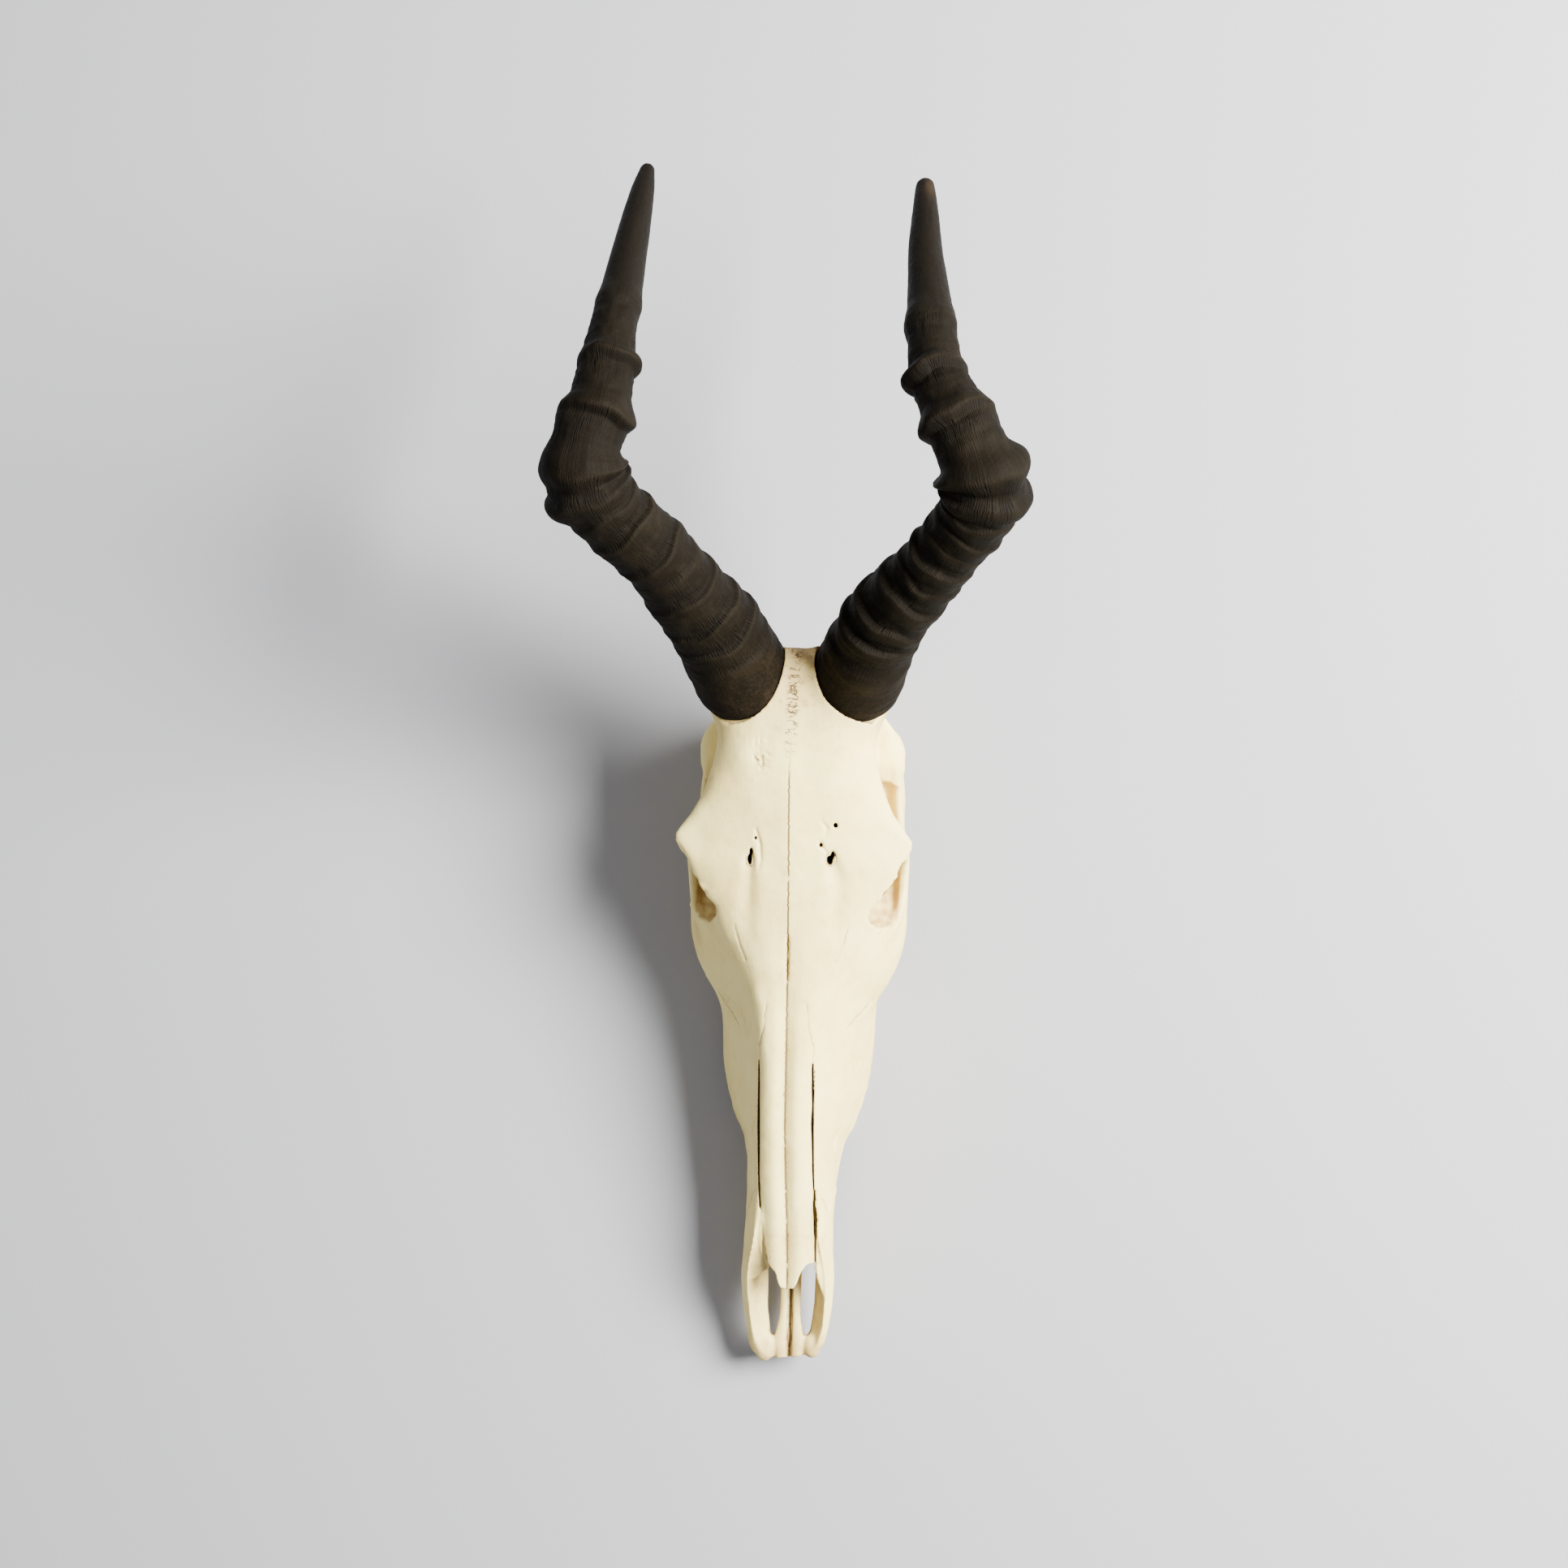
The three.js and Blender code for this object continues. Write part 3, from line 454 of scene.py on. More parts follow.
    def sample(self, p):
        """The distance at any points, from the eight grid points round each."""
        cell, part = [], []
        for k, axis in enumerate(self.axes):
            t = np.clip((p[:, k] - axis[0]) / self.step, 0, len(axis) - 1.001)
            cell.append(t.astype(int))
            part.append(t - cell[-1])
        total = np.zeros(len(p))
        for corner in np.ndindex(2, 2, 2):
            weight = np.prod([part[k] if c else 1 - part[k] for k, c in enumerate(corner)], axis=0)
            total += weight * self.d[tuple(cell[k] + c for k, c in enumerate(corner))]
        return total

    def snap(self, p):
        """The points moved on to the surface, down the slope of the distances."""
        h = 0.7 * self.step
        slope = np.stack([self.sample(p + e) - self.sample(p - e) for e in np.eye(3) * h], axis=1) / (2 * h)
        steep = np.maximum((slope ** 2).sum(axis=1), 0.3)
        return p - np.clip(self.sample(p) / steep, -h, h)[:, None] * slope


def horn_line(name):
    """The middle line of a horn as 900 even points, with its length: a spline through the path's points."""
    path = np.array(HORNS[name][1], float)
    gap = np.r_[0, np.cumsum(np.sqrt(np.linalg.norm(np.diff(path, axis=0), axis=1)))]
    fine = follow(np.c_[gap, path], np.linspace(0, gap[-1], 4000))
    along = np.r_[0, np.cumsum(np.linalg.norm(np.diff(fine, axis=0), axis=1))]
    even = np.linspace(0, along[-1], 900)
    return np.stack([np.interp(even, along, fine[:, k]) for k in range(3)], axis=1), along[-1]


def horn_seat(name):
    """The middle of a horn's foot, the direction in which the horn leaves it and the one to its front edge."""
    line, _ = horn_line(name)
    way = line[6] - line[0]
    way /= np.linalg.norm(way)
    front = np.array([0, -1, 0]) + way * way[1]
    return line[0], way, front / np.linalg.norm(front)


def foot_dip(ahead):
    """How far a horn's foot dips at a distance towards its front."""
    return ahead * HORN_DIP / CORE_RADIUS


def bone_field(step):
    """The whole bone on the right half: bodies joined, with the orbit and the nose hollow cut on the way."""
    field = BoneField((0, -6, -2), (74, 452, 156), step)
    field.join(*field.section_body(FACE_KEELS), 1)
    field.join(*field.section_body(NASAL_KEELS), 1)
    field.join(*field.section_body(BROW_KEELS), 4)
    field.join(*field.section_body(BRAIN_KEELS), 6)
    field.join(*field.beam(SKULL_BASE), 6)
    field.cut(*field.ball(TEMPLE), 5)
    field.cut(*field.ball(ORBIT), 2)
    field.cut(*field.ball(ORBIT_NOTCH), 3)
    field.cut(*field.section_body(NOSE_KEELS), 1.2)
    field.cut(*field.rod(THROAT), 3)
    field.cut(*field.ball(INFRAORBITAL), 2)
    field.join(*field.section_body(MUZZLE_LINES, ring=True), 2)
    field.join(*field.beam(MUZZLE_STRIP), 2)
    field.join(*field.ball(MUZZLE_TIP), 2)
    field.join(*field.beam(PALATE), 4)
    field.join(*field.beam(CHEEK_ARCH), 4)
    field.join(*field.rod(ORBIT_RIM), 4)
    field.join(*field.beam(JAW_SEAT), 6)
    field.join(*field.beam(ARCH_ROOT), 6)
    field.join(*field.rod(ARCH_CREST), 5)
    field.join(*field.beam(BROW_BAR, upright=True), 3)
    field.join(*field.beam(PTERYGOID), 4)
    field.join(*field.beam(PRONG, upright=True), 5)
    field.join(*field.ball(EAR_BULB), 4)
    field.join(*field.ball(CONDYLE), 4)
    field.join(*field.rod(NAPE_CREST), 6)
    field.join(*field.rod(EAR_TUBE), 4)
    field.cut(*field.rod(EAR_HOLE), 1.5)
    field.cut(*field.ball(SPINE_HOLE), 2)
    seat, way, _ = horn_seat("horn_right")
    core = [(*(seat - way * CORE_DEPTH), CORE_RADIUS), (*(seat + way * CORE_TOP), CORE_RADIUS)]
    field.join(*field.rod(core), 10)
    return field


def trim_nose(field):
    """Cuts the nasal bones to their front edge on each side, no deeper than the bones themselves."""
    for side, rows in NOSE_EDGE.items():
        pick, x, y, z = field.window((min(0, 17 * side), 30, 49), (max(0, 17 * side), 102, 75), 0)
        edge = np.interp(x * side, *np.array(rows).T).astype(np.float32)
        roof = follow(NASAL_KEELS[0], y)[..., 1].astype(np.float32)
        field.cut(pick, np.maximum(np.maximum(y - edge, roof - 6.5 - z), x * side - 16), 0.5)


def part_strip(field):
    """Opens the gap along the middle of the muzzle's strip, with a floor under it."""
    half, floor, end = STRIP_GAP
    pick, x, y, z = field.window((-2, -6, 19), (2, end + 1, 34), 0)
    field.cut(pick, np.maximum(np.maximum(np.abs(x) - half, floor - z), y - end), 0.3)
    field.join(*field.rod(STRIP_FLOOR), 0.5)


def open_slits(field):
    """Cuts the slits beside the nasal bones, leaning outward as they go down."""
    for side, rows in SLITS.items():
        pick, x, y, z = field.window((min(11 * side, 22 * side), 50, 40), (max(11 * side, 22 * side), 196, 100), 1)
        middle, half = np.moveaxis(follow(rows, y).astype(np.float32), -1, 0)
        roof = follow(FACE_KEELS[0], y)[..., 1].astype(np.float32)
        slit = np.maximum(np.abs(x * side - middle - 0.06 * (roof - z)) - half, np.abs(z - roof + 4) - 11)
        field.cut(pick, np.maximum(slit, np.maximum(rows[0][0] - y, y - rows[-1][0])), 0.3)


def bore_brow(field):
    """Cuts the holes of the forehead, which narrow as they go down."""
    for hx, hy, wide, long in BROW_HOLES:
        top = float(follow(BROW_KEELS[1], hy)[1])
        bore = [(top - 14, hx, hy + 2, 0.7 * wide, 0.7 * long), (top + 4, hx, hy, wide, long)]
        field.cut(*field.beam(bore, upright=True), 1)


def seat_horns(field):
    """Cuts a flat seat for each horn, as wide as its foot and dipping to the front with it."""
    for name, (_, _, girth, _) in HORNS.items():
        seat, way, front = horn_seat(name)
        pick, x, y, z = field.window(seat - 45, seat + 45, 0)
        x, y, z = x - seat[0], y - seat[1], z - seat[2]
        rise = along(x, y, z, way)
        away = np.sqrt((x - rise * way[0]) ** 2 + (y - rise * way[1]) ** 2 + (z - rise * way[2]) ** 2)
        plane = rise + foot_dip(along(x, y, z, front))
        wall = away - girth[0][1] - HORN_ROOM
        field.cut(pick, np.maximum(-0.3 - plane, wall).astype(np.float32), 1.6)


def seat_teeth(field):
    """Cuts a socket for each tooth."""
    power = TOOTH_SQUARE
    for start, length, width, row in TEETH.values():
        for side in (-1, 1):
            middle = np.array([row * side, start + length / 2, TOOTH_TOP / 2])
            pick, x, y, z = field.window(middle - length, middle + length, 0)
            away = np.abs((x - middle[0]) / width * 2) ** power + np.abs((y - middle[1]) / length * 2) ** power
            wall = (away ** (1 / power) - 1) * width / 2 - TOOTH_ROOM
            field.cut(pick, np.maximum(wall, z - TOOTH_TOP - 0.4).astype(np.float32), 0.6)


def finish_field(field):
    """Mirrors the right half to the whole skull and cuts what belongs to one side or needs a sharp edge."""
    field.axes[0] = np.r_[-field.axes[0][:0:-1], field.axes[0]]
    field.d = np.concatenate([field.d[:0:-1], field.d])
    trim_nose(field)
    for rows in PLATES:
        field.join(*field.sheet(rows), 2)
    part_strip(field)
    open_slits(field)
    bore_brow(field)
    seat_horns(field)
    seat_teeth(field)
    return field


def net_surface(field):
    """Surface nets: one point in each cell that the surface crosses, at the mean of the crossings on the
    cell's edges, and one quad round each grid edge that the surface crosses."""
    d = field.d
    inside = d < 0
    ends = (slice(None, -1), slice(1, None))
    count = np.zeros([n - 1 for n in d.shape], np.uint8)
    for corner in np.ndindex(2, 2, 2):
        count += inside[tuple(ends[c] for c in corner)]
    cells = np.argwhere((count > 0) & (count < 8))
    values = {c: d[tuple((cells + c).T)] for c in np.ndindex(2, 2, 2)}
    total = np.zeros((len(cells), 3))
    hits = np.zeros(len(cells))
    for c in np.ndindex(2, 2, 2):
        for axis in range(3):
            if c[axis]:
                continue
            e = tuple(int(k == axis) + c[k] for k in range(3))
            crossed = (values[c] < 0) != (values[e] < 0)
            t = values[c] / np.where(crossed, values[c] - values[e], 1)
            place = np.tile(np.array(c, float), (len(cells), 1))
            place[:, axis] += t
            total += place * crossed[:, None]
            hits += crossed
    start = np.array([axis[0] for axis in field.axes], float)
    points = (cells + total / hits[:, None]) * field.step + start
    index = np.full(count.shape, -1, np.int32)
    index[tuple(cells.T)] = np.arange(len(cells))
    quads = []
    for axis in range(3):
        u, v = (axis + 1) % 3, (axis + 2) % 3
        near, far = (tuple(end if k == axis else slice(1, -1) for k in range(3)) for end in ends)
        edges = np.argwhere(inside[near] != inside[far])
        edges[:, u] += 1
        edges[:, v] += 1
        solid = inside[tuple(edges.T)]
        ring = []
        for du, dv in ((1, 1), (0, 1), (0, 0), (1, 0)):
            cell = edges.copy()
            cell[:, u] -= du
            cell[:, v] -= dv
            ring.append(index[tuple(cell.T)])
        quad = np.stack(ring, axis=1)
        quads.append(np.where(solid[:, None], quad, quad[:, ::-1]))
    return points, np.concatenate(quads)


def point_normals(points, quads):
    """The mean direction of the faces round each point."""
    face = np.cross(points[quads[:, 2]] - points[quads[:, 0]], points[quads[:, 3]] - points[quads[:, 1]])
    normal = np.stack([
        sum(np.bincount(quads[:, c], face[:, k], len(points)) for c in range(4)) for k in range(3)
    ], axis=1)
    return normal / np.maximum(np.linalg.norm(normal, axis=1, keepdims=True), 1e-9)


def relax(points, quads, rounds):
    """Moves each point half-way to the mean of its neighbours, a few times."""
    a = np.concatenate([quads[:, i] for i in range(4)])
    b = np.concatenate([quads[:, (i + 1) % 4] for i in range(4)])
    n = np.bincount(a, minlength=len(points))[:, None]
    for _ in range(rounds):
        mean = np.stack([np.bincount(a, points[b, k], len(points)) for k in range(3)], axis=1) / n
        points = points + 0.5 * (mean - points)
    return points


def drift(p):
    """How far the nose and forehead lean to one side: fully near the middle, not at all at the sides."""
    share = np.clip((28 - np.abs(p[:, 0])) / 14, 0, 1)
    return np.interp(p[:, 1], *np.array(DRIFT).T) * share * share * (3 - 2 * share)


def leaned(p):
    """The points with the lean of the nose and the uneven muzzle tip put in."""
    q = p.copy()
    q[:, 0] += drift(p)
    q[:, 1] += 0.12 * p[:, 0] * np.clip((24 - p[:, 1]) / 20, 0, 1)
    return q


def crown(p, facing):
    """1 on the upper outside of the face and forehead, where the seams show, and 0 elsewhere."""
    x, y, z = p.T
    roof = np.where(y < 240, follow(FACE_KEELS[0], y)[:, 1], follow(BROW_KEELS[0], y)[:, 1])
    return np.clip((facing - 0.1) / 0.2, 0, 1) * np.clip((z - roof + 45) / 3, 0, 1) * (np.abs(x) < 60)


def seam_gap(x, y):
    """The distance to the nearest seam of the face, negative on one side of it, and how strong that seam is."""
    best = np.full(x.shape, 99.0)
    strength = np.zeros(x.shape)
    for points, force in SEAMS:
        for a, b in zip(points[:-1], points[1:]):
            _, ex, ey = beside(np.abs(x), y, a, b)
            away = np.hypot(ex, ey)
            nearer = away < np.abs(best)
            outside = ex * (b[1] - a[1]) - ey * (b[0] - a[0]) < 0
            best = np.where(nearer, np.where(outside, -away, away), best)
            strength = np.where(nearer, force, strength)
    return best, strength


def trough(x, y, rows):
    """How deep a trough is at each place: a rounded furrow whose width and depth follow its points."""
    deep = np.zeros(x.shape)
    for a, b in zip(rows[:-1], rows[1:]):
        t, ex, ey = beside(x, y, a, b)
        half = a[2] + t * (b[2] - a[2])
        deep = np.maximum(deep, (a[3] + t * (b[3] - a[3])) * np.exp(-(np.hypot(ex, ey) / half) ** 2))
    return deep


def orbit_reach(p):
    """How far out each point lies from the middle of the orbit on its side: 1 on the socket's wall."""
    at, half = ORBIT
    return np.linalg.norm((np.abs(p) * (1, 0, 0) + p * (0, 1, 1) - at) / half, axis=1)


def bone_relief(p, normal):
    """How far each point moves along its normal: the groove along the nose, forehead troughs, seams, pits and
    a ragged rim round the orbit, on a slightly uneven skin."""
    x, y, z = p.T
    top = crown(p, normal[:, 2])
    # The groove along the nose and the slot at its end, the seams, and the forehead's troughs, ridge and hollow.
    groove = 0.8 * np.exp(-(x / 0.8) ** 2) + 0.8 * np.exp(-(x / 3.2) ** 2)
    move = -groove * np.interp(y, [42, 50, 200, 236, 245], [1, 1, 0.9, 0.5, 0])
    move -= 2.0 * np.exp(-(x / 0.9) ** 2) * np.interp(y, [238, 245, 264, 270], [0, 1, 1, 0])
    gap, strength = seam_gap(x, y)
    move -= 0.3 * strength * np.exp(-(gap / 0.9) ** 2)
    for rows in TROUGHS:
        move -= trough(x, y, rows)
    move += 1.1 * np.exp(-(x / 9) ** 2) * np.interp(y, [255, 290, 360, 400], [0, 1, 1, 0])
    move -= 1.6 * np.exp(-((x + 19) / 8) ** 2 - ((y - 378) / 15) ** 2)
    pits = np.maximum(curl(p * 0.55 + 40, 5) - 0.2, 0) * np.exp(-((x + 18) / 5) ** 2 - ((y - 374) / 9) ** 2)
    move -= 2.6 * pits
    move *= top
    # On the back of the head, a ridge down the middle between two hollows.
    back = np.clip(normal[:, 1], 0, 1) * (y > 392)
    move += back * 1.6 * np.exp(-(x / 3.5) ** 2) * np.interp(z, [70, 80, 112, 124], [0, 1, 1, 0])
    move -= back * 1.6 * np.exp(-((np.abs(x) - 13) / 7) ** 2 - ((z - 96) / 11) ** 2)
    # Ragged edges round the orbit and along the tooth row, and an uneven skin over all.
    rim = np.exp(-((orbit_reach(p) - 1.04) / 0.08) ** 2) * (y < 318) * (z > 60)
    move += rim * 1.1 * curl(p / 3.4, 11)
    margin = np.exp(-((z - 18) / 4) ** 2) * (y > 138) * (y < 236) * (np.abs(x) > 30)
    move += margin * 0.35 * curl(p / 5.0, 12)
    move += 0.3 * curl(p / 11.0, 1) + 0.12 * curl(p / 4.5, 2)
    return move * np.interp(z, [0.5, 3], [0, 1])


def shadowed(field, p, normal):
    """How much bone stands close in front of each point, for painted shade: 0 in the open, about 1 in a deep slit."""
    total = np.zeros(len(p))
    for reach in (2.5, 6.0, 13.0):
        at = p + normal * reach
        index = tuple(np.clip(np.rint((at[:, k] - axis[0]) / field.step).astype(int), 0, len(axis) - 1)
                      for k, axis in enumerate(field.axes))
        total += np.clip(1 - field.d[index] / reach, 0, 1.4)
    return total / 3


def mesh_piece(name, points, faces, material):
    """A mesh object at the origin from points in the frame and faces of three or four corners."""
    mesh = bpy.data.meshes.new(name)
    faces = [np.asarray(f, np.int32) for f in faces if len(f)]
    loops = np.concatenate([f.ravel() for f in faces])
    sizes = np.concatenate([np.full(len(f), f.shape[1], np.int32) for f in faces])
    mesh.vertices.add(len(points))
    mesh.vertices.foreach_set("co", np.asarray(points, np.float32).ravel())
    mesh.loops.add(len(loops))
    mesh.loops.foreach_set("vertex_index", loops)
    mesh.polygons.add(len(sizes))
    mesh.polygons.foreach_set("loop_start", np.r_[0, np.cumsum(sizes)[:-1]].astype(np.int32))
    mesh.polygons.foreach_set("use_smooth", np.ones(len(sizes), bool))
    mesh.update(calc_edges=True)
    mesh.validate()
    mesh.materials.append(material)
    piece = bpy.data.objects.new(name, mesh)
    bpy.context.scene.collection.objects.link(piece)
    return piece


def read(items, key, width=1, kind=np.float32):
    """One attribute of each item of a mesh, as an array."""
    values = np.empty(len(items) * width, kind)
    items.foreach_get(key, values)
    return values


def mark_points(mesh, marks):
    """Stores one number for each point under each name, for the material to read."""
    for name, values in marks.items():
        layer = mesh.attributes.new(name, "FLOAT", "POINT")
        layer.data.foreach_set("value", np.asarray(values, np.float32))


def settle(piece, nodes):
    """Puts a piece on the frame's body in place of its CAD nodes."""
    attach(piece, "root")
    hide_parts(*nodes)


def thinned(piece, triangles):
    """Brings a piece down to a number of triangles and returns its points and normals in the skull's axes."""
    have = sum(len(p.vertices) - 2 for p in piece.data.polygons)
    thin = piece.modifiers.new("thin", "DECIMATE")
    thin.ratio = min(1.0, triangles / have)
    graph = bpy.context.evaluated_depsgraph_get()
    mesh = bpy.data.meshes.new_from_object(piece.evaluated_get(graph))
    piece.modifiers.clear()
    old = piece.data
    piece.data = mesh
    bpy.data.meshes.remove(old)
    mesh.name = piece.name
    points = read(mesh.vertices, "co", 3).reshape(-1, 3)
    return (points - ZERO) * 1000, read(mesh.vertex_normals, "vector", 3).reshape(-1, 3)


class Value:
    """A shader socket that takes part in sums: each operation adds a Math node."""

    def __init__(self, tree, socket):
        self.tree = tree
        self.socket = socket

    def feed(self, node, inputs):
        """Links values to a node's sockets and sets numbers and colours on them."""
        for key, value in inputs.items():
            socket = node.inputs[key]
            if isinstance(value, Value):
                self.tree.links.new(value.socket, socket)
            else:
                socket.default_value = (*value, 1) if socket.type == "RGBA" else value

    def node(self, kind, inputs=None, output=0, **settings):
        """Adds a node of a type, sets its settings and sockets, and gives back one of its outputs."""
        made = self.tree.nodes.new(kind)
        for key, setting in settings.items():
            setattr(made, key, setting)
        self.feed(made, inputs or {})
        return Value(self.tree, made.outputs[output])

    def math(self, operation, *values):
        return self.node("ShaderNodeMath", dict(enumerate(values)), operation=operation)

    def __abs__(self):
        return self.math("ABSOLUTE", self)

    def larger(self, other):
        """The larger of two numbers."""
        return self.math("MAXIMUM", self, other)

    def clamp(self):
        """Held between 0 and 1."""
        return self.math("MINIMUM", self, 1.0).larger(0.0)

    def ease(self, low, high):
        """From 0 at low to 1 at high, smoothly."""
        return self.node("ShaderNodeMapRange", {"Value": self, "From Min": low, "From Max": high},
                         interpolation_type="SMOOTHSTEP")

    def mix(self, first, second):
        """A colour between two, by this value."""
        return self.node("ShaderNodeMix", {0: self, 6: first, 7: second}, 2, data_type="RGBA")

    def kept(self, name):
        """A number that the mesh keeps for each point."""
        return self.node("ShaderNodeAttribute", output=2, attribute_name=name)

    def stretch(self, *scale):
        """These coordinates, scaled along each axis."""
        return self.node("ShaderNodeMapping", {"Vector": self, "Scale": scale})

    def noise(self, scale, detail, roughness=0.6, dimensions="3D"):
        """Cloudy noise at these coordinates."""
        return self.node("ShaderNodeTexNoise", {
            "Vector": self, "Scale": scale, "Detail": detail, "Roughness": roughness}, noise_dimensions=dimensions)

    def axis(self, index):
        """One of these coordinates."""
        return self.node("ShaderNodeSeparateXYZ", {"Vector": self}, index)

    def ramp(self, stops):
        """A number read off by this value between stops of (place, number)."""
        made = self.tree.nodes.new("ShaderNodeValToRGB")
        elements = made.color_ramp.elements
        while len(elements) < len(stops):
            elements.new(0.5)
        for element, (place, number) in zip(elements, stops):
            element.position = place
            element.color = (number, number, number, 1)
        self.feed(made, {"Fac": self})
        return self.node("ShaderNodeSeparateColor", {"Color": Value(self.tree, made.outputs[0])})

    def bump(self, strength, distance):
        """Normals for this height."""
        return self.node("ShaderNodeBump", {"Strength": strength, "Distance": distance, "Height": self})


for sign, named in (("add", "ADD"), ("sub", "SUBTRACT"), ("mul", "MULTIPLY"), ("truediv", "DIVIDE")):
    setattr(Value, f"__{sign}__", lambda self, other, named=named: self.math(named, self, other))
    setattr(Value, f"__r{sign}__", lambda self, other, named=named: self.math(named, other, self))


def start_material(name):
    """A node material, its Object coordinates and its Principled node."""
    material = bpy.data.materials.new(name)
    material.use_nodes = True
    tree = material.node_tree
    where = Value(tree, tree.nodes.new("ShaderNodeTexCoord").outputs["Object"])
    return material, where, tree.nodes["Principled BSDF"]


def colour(name, description, default):
    """A colour among a group's settings."""
    return bpy.props.FloatVectorProperty(
        name=name, description=description, default=default, subtype="COLOR", size=3, min=0, max=1)


class BoneSettings(bpy.types.PropertyGroup):
    """Sizes and colours of the bone."""
    step: bpy.props.FloatProperty(
        name="Step", description="Grid step of the distance field, in millimetres", default=0.75, min=0.5, max=3)
    triangles: bpy.props.IntProperty(
        name="Triangles", description="Most triangles in the bone", default=192000, min=10000, max=199000)
    pale: colour("Pale bone", "Colour of clean bone", (0.95, 0.81, 0.31))
    cream: colour("Cream bone", "Colour of yellowed bone", (0.88, 0.67, 0.22))
    # The tan serves both real staining and painted shade.
    tan: colour("Stain", "Colour of stained and sheltered bone", (0.43, 0.27, 0.095))
    seam: colour("Seam", "Colour in the seams", (0.10, 0.055, 0.018))
    # Painted shade: the near-black laid deep in slits and holes.
    depth: colour("Depth", "Colour deep in slits and holes", (0.028, 0.013, 0.005))


class HornSettings(bpy.types.PropertyGroup):
    """Sizes and colours of the horns."""
    stations: bpy.props.IntProperty(
        name="Stations", description="Rounds along each horn", default=620, min=60, max=900)
    sides: bpy.props.IntProperty(
        name="Sides", description="Points round each horn", default=150, min=24, max=200)
    dark: colour("Dark horn", "Colour of the sheath", (0.0041, 0.003, 0.0014))
    dust: colour("Worn horn", "Colour of worn and dusty ridges", (0.0105, 0.0075, 0.0036))
    groove: colour("Grooves", "Colour in the fine grooves", (0.0012, 0.001, 0.0008))
    # Partly painted shade: the fine grooves lie in the creases beside the rings.
    tip: colour("Tips", "Colour of the smooth tips", (0.0046, 0.0036, 0.0024))
    scar: colour("Scar", "Colour of rubbed and crumbling places", (0.018, 0.0112, 0.0056))


class ToothSettings(bpy.types.PropertyGroup):
    """Colours of the cheek teeth."""
    enamel: colour("Enamel", "Colour of the enamel", (0.80, 0.67, 0.33))
    stain: colour("Tartar", "Colour of tartar and worn dentine", (0.30, 0.17, 0.055))


class StageSettings(bpy.types.PropertyGroup):
    """The floor and the camera."""
    floor: colour("Floor", "Colour of the floor", (0.33, 0.33, 0.337))
    distance: bpy.props.FloatProperty(
        name="Distance", description="From the camera to the skull", subtype="DISTANCE", unit="LENGTH", default=1.8)
    yaw: bpy.props.FloatProperty(
        name="Yaw", description="How far the camera stands to the right", subtype="ANGLE", unit="ROTATION",
        default=math.radians(5.2))
    roll: bpy.props.FloatProperty(
        name="Roll", description="How far the camera is turned about its view", subtype="ANGLE", unit="ROTATION",
        default=math.radians(2.2))
    lens: bpy.props.FloatProperty(
        name="Lens", description="Focal length on a 36 mm sensor", subtype="DISTANCE_CAMERA", unit="CAMERA",
        default=68.45)


